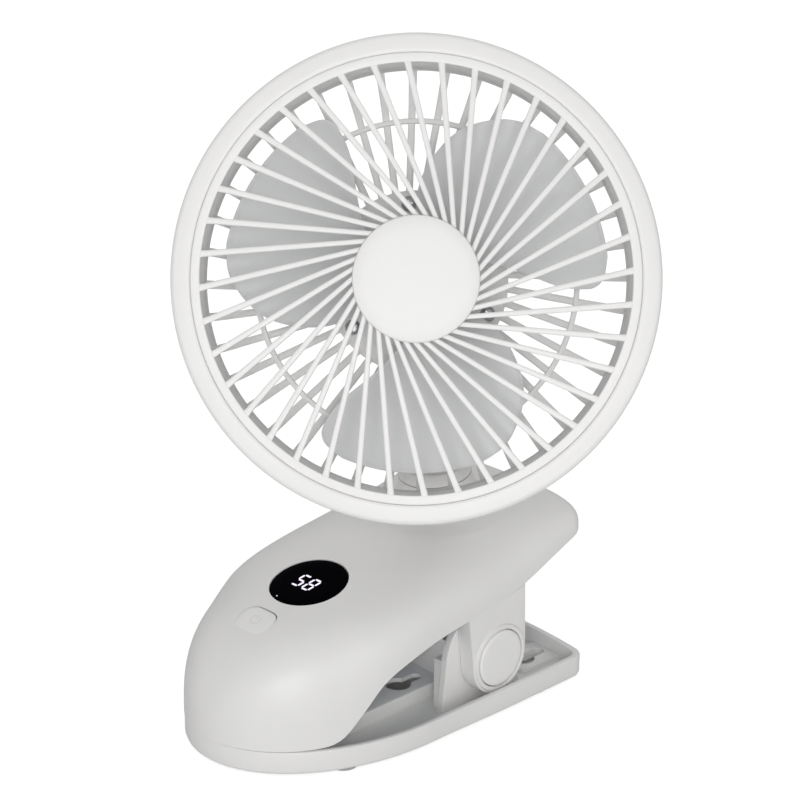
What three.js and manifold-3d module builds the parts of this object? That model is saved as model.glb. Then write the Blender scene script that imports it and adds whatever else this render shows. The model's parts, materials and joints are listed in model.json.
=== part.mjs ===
// Rechargeable clip fan: a sprung clamp base with a display, a swivelling and tilting neck and a
// caged 160 mm fan head. Millimetres, +Z up, the nose of the clamp toward -Y, the origin on the
// flat underside of the base tray.
import * as THREE from "three";
import { mergeVertices } from "three/addons/utils/BufferGeometryUtils.js";
import Module from "manifold-3d";

const wasm = await Module();
wasm.setup();

// ---------------------------------------------------------------- driving dimensions
const GAP = 0.3; // clearance between pieces that touch
const WALL = 2.2; // moulded housing wall

// Base tray
const TRAY_HALF_WIDTH = 44.6;
const TRAY_NOSE_TAPER = 0.8; // each side, where the nose starts
const TRAY_NOSE_HALF_WIDTH = TRAY_HALF_WIDTH - TRAY_NOSE_TAPER;
const TRAY_NOSE_CENTRE_Y = -8; // where the half-ellipse of the nose starts
const TRAY_NOSE_REACH = 63; // from there to the tip
const TRAY_SIDE_START_Y = 30; // the sides run straight from here to the rear corners
const TRAY_REAR_Y = 71.5;
const TRAY_REAR_BOW = 4.5;
const TRAY_CORNER = 5;
const TRAY_FLOOR = 2;
const TRAY_RIM_HEIGHT = 8.3;
const TRAY_RIM_WALL = 2.2;
const TRAY_TIP_Y = TRAY_NOSE_CENTRE_Y - TRAY_NOSE_REACH;

// Jaw pads
const PAD_HALF_WIDTH = 18;
const PAD_SETBACK = 9; // behind the tip of the tray
const PAD_LENGTH = 18;
const PAD_FRONT_Y = TRAY_TIP_Y + PAD_SETBACK;
const PAD_REAR_Y = PAD_FRONT_Y + PAD_LENGTH;
const LOWER_PAD_THICKNESS = 3;

// Raised platform of the tray and the keyholes for hanging the fan on screws
const PLATFORM_HALF_WIDTH = 22;
const PLATFORM_TOP = 7;
const PLATFORM_SETBACK = 10; // behind the pads
const PLATFORM_FRONT_Y = PAD_REAR_Y + PLATFORM_SETBACK;
const PLATFORM_REAR_Y = 19;
const KEYHOLE_X = 14.3;
const KEYHOLE_Y = 3.6;
const KEYHOLE_RADIUS = 4.6;
const KEYHOLE_SLOT = 4.4;
const KEYHOLE_LENGTH = 8.4; // head circle to slot end, centre to centre
const REAR_KEYHOLE_X = 25.6;
const REAR_KEYHOLE_SETBACK = 16.5; // from the rear of the tray
const REAR_KEYHOLE_Y = TRAY_REAR_Y - REAR_KEYHOLE_SETBACK;
const REAR_PAD_HALF_WIDTH = 7;
const REAR_PAD_LENGTH = 22;
const REAR_PAD_TOP = 3.4;

// Rubber feet
const FOOT_RADIUS = 5;
const FOOT_HEIGHT = 1; // below the tray
const FOOT_RECESS = 0.8;
const FRONT_FOOT_INSET = 12.6; // from the sides of the tray
const FRONT_FOOT_SETBACK = 32; // from the tip of the tray
const REAR_FOOT_INSET = 6.6;
const REAR_FOOT_SETBACK = 24.5; // from the rear of the tray
const FRONT_FOOT_X = TRAY_HALF_WIDTH - FRONT_FOOT_INSET;
const FRONT_FOOT_Y = TRAY_TIP_Y + FRONT_FOOT_SETBACK;
const REAR_FOOT_X = TRAY_HALF_WIDTH - REAR_FOOT_INSET;
const REAR_FOOT_Y = TRAY_REAR_Y - REAR_FOOT_SETBACK;

// Clamp pivot, tray ears, legs of the upper jaw
const PIVOT_Y = 27.5;
const PIVOT_Z = 18.5;
const PIVOT_PIN_RADIUS = 2.5;
const SHELL_SIDE_INSET = 3.3; // from the sides of the tray
const SHELL_HALF_WIDTH = TRAY_HALF_WIDTH - SHELL_SIDE_INSET;
const LEG_THICKNESS = 6;
const LEG_INSET = 1.3; // from the widest part of the shell
const EAR_OUTER_X = SHELL_HALF_WIDTH - LEG_INSET - LEG_THICKNESS - GAP;
const EAR_THICKNESS = 3.2;
const EAR_RADIUS = 19.6; // about the pivot, so that the upper jaw swings clear
const EAR_FRONT_FOOT_Y = 6;
const EAR_REAR_FOOT_Y = 45;
const PILLAR_FRONT_Y = 9.4;
const PILLAR_DEPTH = 5;
const PILLAR_WIDTH = 3;
const PILLAR_TOP = 20.5;
const LEG_FRONT_Y = 12;
const LEG_REAR_Y = 39.7;
const LEG_BOSS_RADIUS = 13;
const CAP_RADIUS = 10.2;
const CAP_PROUD = 1.2;
const CAP_SEAT_DEPTH = 1.6;

// Upper clamp shell, a lofted dome
const SHELL_TAIL_TAPER = 2.7; // each side
const SHELL_TAIL_HALF_WIDTH = SHELL_HALF_WIDTH - SHELL_TAIL_TAPER;
const SHELL_NOSE_CENTRE_Y = -12;
const SHELL_NOSE_OVERHANG = 0.8; // past the tip of the tray
const JAW_TIP_Y = TRAY_TIP_Y - SHELL_NOSE_OVERHANG;
const SHELL_NOSE_REACH = SHELL_NOSE_CENTRE_Y - JAW_TIP_Y;
const SHELL_NOSE_ROUND = 34; // length over which the nose rises to the ridge
const SHELL_NOSE_POWER = 2.6;
const SHELL_TAIL_Y = 72.5;
const SHELL_TAIL_CORNER = 7;
const SHELL_TAIL_TOP_ROUND = 4;
const JAW_PARTING = 0.5; // between the tray rim and the nose of the shell
const SHELL_EDGE_Z = TRAY_RIM_HEIGHT + JAW_PARTING;
const COVER_THICKNESS = 2.4;

// Display, button and electronics
const TOP_SLOPE = 12.9; // degrees, ridge of the shell at the display
const DISPLAY_SETBACK = 46.8; // from the tip of the jaw
const DISPLAY_Y = JAW_TIP_Y + DISPLAY_SETBACK;
const DISPLAY_RADIUS = 13.5;
const DISPLAY_THICKNESS = 1.6;
const BUTTON_SETBACK = 22.8;
const BUTTON_Y = JAW_TIP_Y + BUTTON_SETBACK;
const BUTTON_RADIUS = 7.3;
const BUTTON_HALF_LENGTH = 5.4; // to the two flats
const BUTTON_HEIGHT = 3.4;
const BUTTON_SLOPE = 20;
const BUTTON_TRAVEL = 1;
const BOARD_WIDTH = 34;
const BOARD_LENGTH = 42;
const BOARD_THICKNESS = 1.6;
const BOARD_DEPTH = 7.4; // below the ridge, square to the slope
const BOARD_AHEAD = 9; // its middle, ahead of the display's
const MODULE_WIDTH = 20;
const MODULE_LENGTH = 14;
const SWITCH_SIZE = 6;
const SWITCH_HEIGHT = 1.2;
const BATTERY_WIDTH = 50;
const BATTERY_LENGTH = 38;
const BATTERY_HEIGHT = 8;
const BATTERY_BEHIND = 35; // its middle, behind the display's
const BATTERY_Y = DISPLAY_Y + BATTERY_BEHIND;
const PORT_WIDTH = 8.9;
const PORT_HEIGHT = 3.2;
const PORT_DEPTH = 7.4;
const PORT_WALL = 0.4;
const PORT_RECESS = 0.6; // behind the tail face

// Torsion spring on the pivot pin
const SPRING_RADIUS = 6.4;
const SPRING_WIRE_RADIUS = 0.9;
const SPRING_TURNS = 6;
const SPRING_PITCH = 2.6;
const SPRING_LOWER_ANGLE = 30; // legs, from level
const SPRING_UPPER_ANGLE = 45;

// Neck: the swivel axis leans toward the nose
const NECK_LEAN = 8;
const NECK_Y = 38.1;
const NECK_Z = 52; // height of the neck frame's origin on the swivel axis
const COLLAR_TOP = 22; // along the axis from that origin
const COLLAR_RADIUS = 13;
const COLLAR_FILLET = 13.5;
const SPIGOT_RADIUS = 8;
const RETAINER_WIDTH = 1.9;
const RETAINER_RADIUS = SPIGOT_RADIUS + GAP + RETAINER_WIDTH;
const RETAINER_THICKNESS = 2.4;
const NECK_YAW = 47; // rest position of the head, turned from the nose
const ARM_WIDTH = 25;
const ARM_DEPTH = 15;
const HINGE_HEIGHT = 59;
const KNUCKLE_RADIUS = 7.6;
const KNUCKLE_HALF_WIDTH = 6;
const LUG_THICKNESS = 4.4;
const TILT_PIN_RADIUS = 2;

// Head, measured from the centre of its front plane; z runs forward
const HEAD_PITCH = 25;
const GRILLE_OPENING = 70.3;
const GRILLE_RIM_WIDTH = 3.1;
const GRILLE_RIM_DEPTH = 2.6;
const SEAM_RADIUS = GRILLE_OPENING + GRILLE_RIM_WIDTH; // outside of the front grille
const HEAD_RING_WIDTH = 6.6;
const HEAD_RADIUS = SEAM_RADIUS + HEAD_RING_WIDTH;
const HEAD_DEPTH = 18;
const HEAD_TAPER = 2.6;
const SHROUD_WALL = 1.8;
const SPOKE_COUNT = 40;
const SPOKE_TANGENT_RADIUS = 13.4; // the circle that the straight spokes point past
const SPOKE_PHASE = 5.9;
const SPOKE_OUTER_WIDTH = 2.1;
const SPOKE_INNER_WIDTH = 1.6;
const SPOKE_DEPTH = 2.4;
const HUB_RADIUS = 20.7;
const HUB_PROUD = 4.6;

const REAR_SPOKE_COUNT = 40;
const REAR_SPOKE_WIDTH = 2.9;
const REAR_SPOKE_DEPTH = 2.4;
const REAR_RING_INSET = 16.3; // inside the opening
const REAR_RING_RADIUS = GRILLE_OPENING - REAR_RING_INSET;
const REAR_PLATE_RADIUS = 31;
const REAR_PLATE_THICKNESS = 2.4;
const MOTOR_SCREW_INSET = 4.6; // from the edge of the plate
const MOTOR_SCREW_CIRCLE = REAR_PLATE_RADIUS - MOTOR_SCREW_INSET;
const MOTOR_SCREW_RADIUS = 2.4;
const MOTOR_SCREW_SHANK = 1.2;
const MOTOR_SCREW_SEAT = 0.9; // depth of its seat in the plate

const BLADE_COUNT = 3;
const BLADE_TIP_CLEARANCE = 7.3; // to the opening
const BLADE_TIP_RADIUS = GRILLE_OPENING - BLADE_TIP_CLEARANCE;
const BLADE_THICKNESS = 1.6;
const BLADE_INSET = 3; // from both ends of the impeller's hub
const BLADE_CAMBER = 1.5;
const BLADE_PHASE = -7.3;
const IMPELLER_HUB_RADIUS = 19.5;
const IMPELLER_HUB_LENGTH = 18;
const IMPELLER_HUB_FRONT_Z = -6.5;
const IMPELLER_HUB_REAR_Z = IMPELLER_HUB_FRONT_Z - IMPELLER_HUB_LENGTH;
const BLADE_FRONT_Z = IMPELLER_HUB_FRONT_Z - BLADE_INSET;
const BLADE_REAR_Z = IMPELLER_HUB_REAR_Z + BLADE_INSET;
const SHAFT_RADIUS = 1.5;
const SHAFT_COVER = 4; // of hub in front of the shaft, and of motor behind it
const MOTOR_RADIUS = 14;
const MOTOR_LENGTH = 21.6;
const MOTOR_CLEARANCE = 0.9; // behind the impeller
const MOTOR_NOSE = 8.2; // motor standing proud of the rear plate
const MOTOR_FRONT_Z = IMPELLER_HUB_REAR_Z - MOTOR_CLEARANCE;
const MOTOR_REAR_Z = MOTOR_FRONT_Z - MOTOR_LENGTH;
const REAR_PLATE_Z = MOTOR_FRONT_Z - MOTOR_NOSE;
const REAR_DISH = 3.6; // rear plate behind the rear ring
const REAR_RING_Z = REAR_PLATE_Z + REAR_DISH;
const COVER_INSET = 0.4; // from the edge of the plate
const COVER_RADIUS = REAR_PLATE_RADIUS - COVER_INSET;
const COVER_TAIL = 3; // behind the motor
const COVER_REAR_Z = MOTOR_REAR_Z - COVER_TAIL;
const HINGE_INSET = 2; // ahead of the cover's rear face
const HINGE_DROP = 1.9; // below the cover
const HEAD_AHEAD = -COVER_REAR_Z - HINGE_INSET; // front plane to hinge
const HEAD_RISE = COVER_RADIUS + HINGE_DROP; // fan axis above the hinge

// ---------------------------------------------------------------- helpers
const rad = THREE.MathUtils.degToRad;
const lerp = THREE.MathUtils.lerp;
const Vec = THREE.Vector3;

// A closed three.js geometry as a solid
function solid(geometry) {
  const bare = geometry.clone();
  for (const name of Object.keys(bare.attributes)) {
    if (name !== "position") bare.deleteAttribute(name);
  }
  const merged = mergeVertices(bare, 1e-4);
  return new wasm.Manifold(
    new wasm.Mesh({
      numProp: 3,
      vertProperties: merged.attributes.position.array,
      triVerts: new Uint32Array(merged.index.array),
    }),
  );
}

// A solid as a flat-shaded three.js geometry
function geometryOf(body) {
  const mesh = body.getMesh();
  const geometry = new THREE.BufferGeometry();
  const positions = new THREE.BufferAttribute(new Float32Array(mesh.vertProperties), 3);
  geometry.setAttribute("position", positions);
  geometry.setIndex(new THREE.BufferAttribute(new Uint32Array(mesh.triVerts), 1));
  const flat = geometry.toNonIndexed();
  flat.computeVertexNormals();
  return flat;
}

const joined = (bodies) => bodies.reduce((sum, body) => sum.add(body));

// Smooth curve through [u, v] pairs, as a function of u
function through(pairs) {
  const slope = pairs.map((pair, i) => {
    const before = pairs[Math.max(i - 1, 0)];
    const after = pairs[Math.min(i + 1, pairs.length - 1)];
    return (after[1] - before[1]) / (after[0] - before[0]);
  });
  return (u) => {
    let i = 0;
    while (i < pairs.length - 2 && u > pairs[i + 1][0]) i += 1;
    const span = pairs[i + 1][0] - pairs[i][0];
    const t = THREE.MathUtils.clamp((u - pairs[i][0]) / span, 0, 1);
    const rise = pairs[i + 1][1] - pairs[i][1];
    const ease = t * t * (3 - 2 * t);
    const bend = t * (1 - t) * ((1 - t) * slope[i] - t * slope[i + 1]) * span;
    return pairs[i][1] + rise * ease + bend;
  };
}

// Skin over rings of points that run counter-clockwise about the direction of travel; each end
// is closed by a strip between opposite points, so a ring holds an even number of them
function loft(rings) {
  const count = rings[0].length;
  const index = [];
  const at = (i, j) => i * count + (j % count);
  for (let i = 0; i < rings.length - 1; i += 1) {
    for (let j = 0; j < count; j += 1) {
      index.push(at(i, j), at(i, j + 1), at(i + 1, j + 1));
      index.push(at(i, j), at(i + 1, j + 1), at(i + 1, j));
    }
  }
  const last = rings.length - 1;
  for (let k = 0; k < count / 2 - 1; k += 1) {
    const far = count - 1 - k;
    index.push(at(last, k), at(last, k + 1), at(last, far - 1));
    index.push(at(last, k), at(last, far - 1), at(last, far));
    index.push(at(0, far - 1), at(0, k + 1), at(0, k));
    index.push(at(0, far), at(0, far - 1), at(0, k));
  }
  const geometry = new THREE.BufferGeometry().setFromPoints(rings.flat());
  geometry.setIndex(index);
  return geometry;
}

// Revolved about Z; the profile of [radius, z] pairs runs counter-clockwise
function revolved(profile, segments) {
  const points = profile.map(([r, z]) => new THREE.Vector2(r, z));
  return new THREE.LatheGeometry(points, segments).rotateX(Math.PI / 2);
}

// Solid disc or rod along Z from z0 to z1
function rod(radius, z0, z1, segments = 32) {
  const profile = [[0, z0], [radius, z0], [radius, z1], [0, z1]];
  return revolved(profile, segments);
}

// Rod along X
function crossRod(radius, x0, x1, y, z, segments = 32) {
  return rod(radius, x0, x1, segments).rotateY(Math.PI / 2).translate(0, y, z);
}

function box(width, depth, height, x = 0, y = 0, z = 0) {
  return new THREE.BoxGeometry(width, depth, height).translate(x, y, z);
}

function extruded(shape, depth, curveSegments = 12) {
  return new THREE.ExtrudeGeometry(shape, { depth, curveSegments, bevelEnabled: false });
}

// A (y, z) outline extruded along X from x0 to x1
function sideways(shape, x0, x1, curveSegments = 12) {
  const turn = new THREE.Matrix4().makeBasis(new Vec(0, 1, 0), new Vec(0, 0, 1), new Vec(1, 0, 0));
  return extruded(shape, x1 - x0, curveSegments).applyMatrix4(turn).translate(x0, 0, 0);
}

function roundedRect(width, height, radius) {
  const shape = new THREE.Shape();
  const x = width / 2;
  const y = height / 2;
  shape.moveTo(x, -y + radius);
  shape.lineTo(x, y - radius);
  shape.absarc(x - radius, y - radius, radius, 0, Math.PI / 2);
  shape.absarc(radius - x, y - radius, radius, Math.PI / 2, Math.PI);
  shape.absarc(radius - x, radius - y, radius, Math.PI, Math.PI * 1.5);
  shape.absarc(x - radius, radius - y, radius, Math.PI * 1.5, Math.PI * 2);
  return shape;
}

const WHITE = { color: 0xeeedeb, roughness: 0.42, metalness: 0 };
const WHITE_GLOSS = { color: 0xf2f1ef, roughness: 0.3, metalness: 0 };
const BLADE_WHITE = { color: 0xe6e6e5, roughness: 0.5, metalness: 0 };
const BLACK_GLASS = { color: 0x08080a, roughness: 0.12, metalness: 0 };
const RUBBER = { color: 0xb9b8b5, roughness: 0.85, metalness: 0 };
const STEEL = { color: 0xb4b4b6, roughness: 0.35, metalness: 1 };
const BOARD_GREEN = { color: 0x1f5a3a, roughness: 0.6, metalness: 0 };
const BATTERY_BLUE = { color: 0x2e5fa8, roughness: 0.45, metalness: 0 };
const DARK_PLASTIC = { color: 0x26272a, roughness: 0.55, metalness: 0 };

function part(name, body, finish) {
  const geometry = body.isBufferGeometry ? body : geometryOf(body);
  const mesh = new THREE.Mesh(geometry, new THREE.MeshStandardMaterial(finish));
  mesh.name = name;
  return mesh;
}

// ---------------------------------------------------------------- base tray
function trayOutline(inset) {
  const side = TRAY_HALF_WIDTH - inset;
  const nose = TRAY_NOSE_HALF_WIDTH - inset;
  const rear = TRAY_REAR_Y - TRAY_REAR_BOW - inset;
  const corner = TRAY_CORNER - inset / 2;
  const shape = new THREE.Shape();
  shape.moveTo(-nose, TRAY_NOSE_CENTRE_Y);
  shape.absellipse(
    0, TRAY_NOSE_CENTRE_Y, nose, TRAY_NOSE_REACH - inset, Math.PI, Math.PI * 2, false, 0,
  );
  shape.lineTo(side, TRAY_SIDE_START_Y);
  shape.lineTo(side, rear - corner);
  shape.quadraticCurveTo(side, rear, side - corner, rear + 0.2 * corner);
  const bowed = TRAY_REAR_Y - inset;
  shape.quadraticCurveTo(0, 2 * bowed - rear - 0.2 * corner, corner - side, rear + 0.2 * corner);
  shape.quadraticCurveTo(-side, rear, -side, rear - corner);
  shape.lineTo(-side, TRAY_SIDE_START_Y);
  return shape;
}

function keyhole(x, y, z0, z1) {
  const head = rod(KEYHOLE_RADIUS, z0, z1, 14).translate(x, y, 0);
  const slotLength = KEYHOLE_LENGTH + KEYHOLE_SLOT;
  const slot = extruded(roundedRect(KEYHOLE_SLOT, slotLength, KEYHOLE_SLOT / 2 - 0.01), z1 - z0, 3);
  slot.translate(x, y + KEYHOLE_LENGTH / 2, z0);
  return solid(head).add(solid(slot));
}

// Upright plate of the tray that carries the pivot pin, with its stiffening pillar
function trayEar(side) {
  const outline = new THREE.Shape();
  const shoulder = Math.asin((PILLAR_TOP - 2 - PIVOT_Z + EAR_THICKNESS) / EAR_RADIUS);
  outline.moveTo(EAR_REAR_FOOT_Y, TRAY_FLOOR / 2);
  outline.absarc(PIVOT_Y, PIVOT_Z, EAR_RADIUS * 0.62, 0.15, Math.PI / 2, false);
  outline.absarc(PIVOT_Y, PIVOT_Z, EAR_RADIUS, Math.PI * 0.72, Math.PI - shoulder, false);
  outline.lineTo(EAR_FRONT_FOOT_Y, TRAY_FLOOR / 2);
  const inner = EAR_OUTER_X - EAR_THICKNESS;
  const plate = solid(sideways(outline, inner, EAR_OUTER_X, 7));
  const pillar = box(
    PILLAR_WIDTH + 1, PILLAR_DEPTH, PILLAR_TOP - TRAY_FLOOR / 2,
    inner - PILLAR_WIDTH / 2 + 0.5, PILLAR_FRONT_Y + PILLAR_DEPTH / 2,
    (PILLAR_TOP + TRAY_FLOOR / 2) / 2,
  );
  const bore = crossRod(PIVOT_PIN_RADIUS + GAP, inner - 9, EAR_OUTER_X + 1, PIVOT_Y, PIVOT_Z, 16);
  const ear = plate.add(solid(pillar)).subtract(solid(bore));
  return side > 0 ? ear : ear.mirror([1, 0, 0]);
}

const footPlaces = [
  ["foot_front_right", FRONT_FOOT_X, FRONT_FOOT_Y],
  ["foot_front_left", -FRONT_FOOT_X, FRONT_FOOT_Y],
  ["foot_rear_right", REAR_FOOT_X, REAR_FOOT_Y],
  ["foot_rear_left", -REAR_FOOT_X, REAR_FOOT_Y],
];

function baseTray() {
  let tray = solid(extruded(trayOutline(0), TRAY_RIM_HEIGHT, 14));
  const pocket = extruded(trayOutline(TRAY_RIM_WALL), TRAY_RIM_HEIGHT, 14);
  tray = tray.subtract(solid(pocket.translate(0, 0, TRAY_FLOOR)));
  const length = PLATFORM_REAR_Y - PLATFORM_FRONT_Y;
  const platform = extruded(roundedRect(PLATFORM_HALF_WIDTH * 2, length, 3), PLATFORM_TOP - 1, 2);
  platform.translate(0, (PLATFORM_REAR_Y + PLATFORM_FRONT_Y) / 2, 1);
  tray = tray.add(solid(platform));
  for (const side of [-1, 1]) {
    const padShape = roundedRect(REAR_PAD_HALF_WIDTH * 2, REAR_PAD_LENGTH, 4);
    const pad = extruded(padShape, REAR_PAD_TOP - 1, 2);
    pad.translate(side * REAR_KEYHOLE_X, REAR_KEYHOLE_Y + KEYHOLE_LENGTH / 2, 1);
    tray = tray.add(solid(pad)).add(trayEar(side));
    tray = tray.subtract(keyhole(side * KEYHOLE_X, KEYHOLE_Y, -1, PLATFORM_TOP + 1));
    tray = tray.subtract(keyhole(side * REAR_KEYHOLE_X, REAR_KEYHOLE_Y, -1, REAR_PAD_TOP + 1));
  }
  for (const [, x, y] of footPlaces) {
    const recess = rod(FOOT_RADIUS + GAP, -1, FOOT_RECESS, 16).translate(x, y, 0);
    tray = tray.subtract(solid(recess));
  }
  return tray;
}

const foot = () => {
  const top = FOOT_RECESS - GAP;
  const low = -FOOT_HEIGHT;
  const profile = [[0, low], [FOOT_RADIUS - 0.6, low], [FOOT_RADIUS, low + 0.6], [FOOT_RADIUS, top], [0, top]];
  return revolved(profile, 16);
};

// ---------------------------------------------------------------- clamp shell
// The shell's tables are drawn from these stations and stretch with its real tip and tail
const DRAWN_TIP_Y = -71.8;
const DRAWN_TAIL_Y = 72.5;
function alongShell(pairs) {
  const curve = through(pairs);
  const share = (y) => (y - JAW_TIP_Y) / (SHELL_TAIL_Y - JAW_TIP_Y);
  return (y) => curve(lerp(DRAWN_TIP_Y, DRAWN_TAIL_Y, share(y)));
}

// Height of the shell's lower edge: along the tray rim at the nose, then up over the jaw mouth
const shellEdge = alongShell([
  [-72, SHELL_EDGE_Z],
  [-52, SHELL_EDGE_Z],
  [-43, 10.8],
  [-35, 19.4],
  [-28, 27.2],
  [-19, 32],
  [-4, 36],
  [16, 38.8],
  [38, 42.4],
  [52, 47.2],
  [DRAWN_TAIL_Y, 54.6],
]);

// Height of the ridge along the middle, before the nose is rounded off
const shellRidge = alongShell([
  [-72, 40.4],
  [-49, 45.2],
  [-25, 50.4],
  [0, 56.2],
  [20, 60.6],
  [38, 63],
  [56, 64.4],
  [DRAWN_TAIL_Y, 64.6],
]);

// Squareness of the section: boxier at the display and the tail than at the neck
const shellPower = alongShell([
  [-72, 2.9],
  [-25, 3.3],
  [30, 2.6],
  [DRAWN_TAIL_Y, 3.4],
]);
const portZ = shellEdge(SHELL_TAIL_Y) + COVER_THICKNESS + PORT_HEIGHT / 2 + 2 * GAP;

function shellSection(y, inset, drop, count) {
  const noseReach = SHELL_NOSE_REACH - inset;
  const noseTip = SHELL_NOSE_CENTRE_Y - noseReach;
  const tail = SHELL_TAIL_Y - inset;
  const ahead = Math.max(0, (SHELL_NOSE_CENTRE_Y - y) / noseReach);
  const back = Math.max(0, (y - SHELL_NOSE_CENTRE_Y) / (SHELL_TAIL_Y - SHELL_NOSE_CENTRE_Y));
  const cornerRun = Math.max(0, y - (tail - SHELL_TAIL_CORNER));
  const cornerCut = SHELL_TAIL_CORNER - Math.sqrt(Math.max(0, SHELL_TAIL_CORNER ** 2 - cornerRun ** 2));
  const taper = lerp(SHELL_HALF_WIDTH, SHELL_TAIL_HALF_WIDTH, back ** 1.5);
  const half = (taper - inset) * Math.sqrt(Math.max(0, 1 - ahead ** 2)) - cornerCut;

  const rise = Math.min(1, (y - noseTip) / SHELL_NOSE_ROUND);
  const swell = (1 - (1 - rise) ** SHELL_NOSE_POWER) ** (1 / SHELL_NOSE_POWER);
  const roundRun = Math.max(0, y - (tail - SHELL_TAIL_TOP_ROUND));
  const roundCut = SHELL_TAIL_TOP_ROUND
    - Math.sqrt(Math.max(0, SHELL_TAIL_TOP_ROUND ** 2 - roundRun ** 2));
  const low = shellEdge(y) - drop;
  const top = SHELL_EDGE_Z + (shellRidge(y) - inset - SHELL_EDGE_Z) * swell - roundCut;

  const power = 2 / shellPower(y);
  const ring = [];
  for (let k = 0; k < count; k += 1) {
    const angle = (Math.PI * k) / (count - 1);
    const across = Math.sign(Math.cos(angle)) * Math.abs(Math.cos(angle)) ** power;
    const up = Math.max(0, Math.sin(angle)) ** power;
    ring.push(new Vec(half * across, y, low + (top - low) * up));
  }
  return ring;
}

// Stations from the tail to the nose, closer together toward both ends
function shellDome(inset, drop, stations, count) {
  const nose = SHELL_NOSE_CENTRE_Y - SHELL_NOSE_REACH + inset + 0.12;
  const tail = SHELL_TAIL_Y - inset;
  const rings = [];
  for (let i = 0; i <= stations; i += 1) {
    const t = (1 - Math.cos((Math.PI * i) / stations)) / 2;
    rings.push(shellSection(lerp(tail, nose, t), inset, drop, count));
  }
  return loft(rings);
}

const outerDome = (inset) => shellDome(inset, 0, 24, 20);
const innerDome = (inset) => shellDome(inset, 8, 12, 12);

// A body placed square to the ridge at y, sunk by depth below it
function onRidge(geometry, y, slope, depth) {
  geometry.rotateX(rad(slope));
  const z = shellRidge(y) - depth * Math.cos(rad(slope));
  return geometry.translate(0, y + depth * Math.sin(rad(slope)), z);
}

function buttonPrism(grow, from, to) {
  const radius = BUTTON_RADIUS + grow;
  const flat = Math.asin((BUTTON_HALF_LENGTH + grow) / radius);
  const shape = new THREE.Shape();
  shape.absarc(0, 0, radius, -flat, flat, false);
  shape.absarc(0, 0, radius, Math.PI - flat, Math.PI + flat, false);
  const prism = extruded(shape, to - from, 4).translate(0, 0, from);
  return solid(onRidge(prism, BUTTON_Y, BUTTON_SLOPE, 0));
}

function onNeckAxis(geometry) {
  return geometry.rotateX(rad(NECK_LEAN)).translate(0, NECK_Y, NECK_Z);
}

// Concave collar that carries the neck: the fillet arc and its offset share one centre
function collarProfile(offset, top) {
  const profile = [[0, 4], [COLLAR_RADIUS + COLLAR_FILLET - 1, 4]];
  const radius = COLLAR_FILLET + offset;
  const steps = 5;
  const start = Math.acos(Math.min(1, (COLLAR_TOP - top) / radius));
  for (let i = 0; i <= steps; i += 1) {
    const angle = lerp(0.12, start, i / steps);
    profile.push([
      COLLAR_RADIUS + COLLAR_FILLET - radius * Math.sin(angle),
      COLLAR_TOP - radius * Math.cos(angle),
    ]);
  }
  profile.push([0, profile.at(-1)[1]]);
  return profile;
}

function portOpening(grow, y0, y1) {
  const radius = (PORT_HEIGHT + 2 * grow) / 2 - 0.01;
  const shape = roundedRect(PORT_WIDTH + 2 * grow, PORT_HEIGHT + 2 * grow, radius);
  return extruded(shape, y1 - y0, 2).rotateX(Math.PI / 2).translate(0, y1, portZ);
}

function upperShell() {
  const collar = solid(onNeckAxis(revolved(collarProfile(0, COLLAR_TOP), 28)));
  const collarCore = solid(onNeckAxis(revolved(collarProfile(WALL, COLLAR_TOP - WALL), 16)));
  const cavity = solid(innerDome(WALL));
  const window = onRidge(rod(DISPLAY_RADIUS + GAP, -8, 8, 28), DISPLAY_Y, TOP_SLOPE, 0);
  const swivelBore = onNeckAxis(rod(SPIGOT_RADIUS + GAP, 4, COLLAR_TOP + 2, 24));
  return solid(outerDome(0))
    .add(collar)
    .subtract(cavity)
    .subtract(collarCore)
    .subtract(solid(swivelBore))
    .subtract(solid(window))
    .subtract(buttonPrism(GAP, -12, 8))
    .subtract(solid(portOpening(GAP, SHELL_TAIL_Y - 2 * WALL, SHELL_TAIL_Y + 2)));
}

// ---------------------------------------------------------------- underside of the upper jaw
// Plate that closes the shell, following its edge
function coverPlate() {
  const stations = 20;
  const nose = SHELL_NOSE_CENTRE_Y - SHELL_NOSE_REACH;
  const tail = SHELL_TAIL_Y;
  const rings = [];
  for (let i = 0; i <= stations; i += 1) {
    const y = lerp(tail, nose, (1 - Math.cos((Math.PI * i) / stations)) / 2);
    const half = SHELL_HALF_WIDTH;
    const low = shellEdge(y) + GAP;
    rings.push([
      new Vec(half, y, low),
      new Vec(half, y, low + COVER_THICKNESS),
      new Vec(-half, y, low + COVER_THICKNESS),
      new Vec(-half, y, low),
    ]);
  }
  return loft(rings);
}

// Leg down to the pivot; the outer part ends under the shell's edge
function legOutline(lift) {
  const shape = new THREE.Shape();
  const steps = 4;
  shape.absarc(PIVOT_Y, PIVOT_Z, LEG_BOSS_RADIUS, Math.PI, Math.PI * 2, false);
  for (let i = 0; i <= steps; i += 1) {
    const y = lerp(LEG_REAR_Y, LEG_FRONT_Y, i / steps);
    shape.lineTo(y, shellEdge(y) + lift);
  }
  return shape;
}

function undersideCover() {
  let cover = solid(coverPlate()).intersect(solid(innerDome(WALL + GAP)));
  const inner = EAR_OUTER_X + GAP;
  const outer = inner + LEG_THICKNESS;
  const tuck = SHELL_HALF_WIDTH - WALL - 2.4;
  let leg = solid(sideways(legOutline(-GAP), inner, outer, 10));
  leg = leg.add(solid(sideways(legOutline(COVER_THICKNESS / 2), inner, tuck, 10)));
  const seat = crossRod(CAP_RADIUS + GAP, outer - CAP_SEAT_DEPTH, outer + 1, PIVOT_Y, PIVOT_Z, 32);
  const bore = crossRod(PIVOT_PIN_RADIUS + GAP, inner - 1, outer, PIVOT_Y, PIVOT_Z, 16);
  leg = leg.subtract(solid(seat)).subtract(solid(bore));
  cover = cover.add(leg).add(leg.mirror([1, 0, 0]));
  return cover;
}

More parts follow.
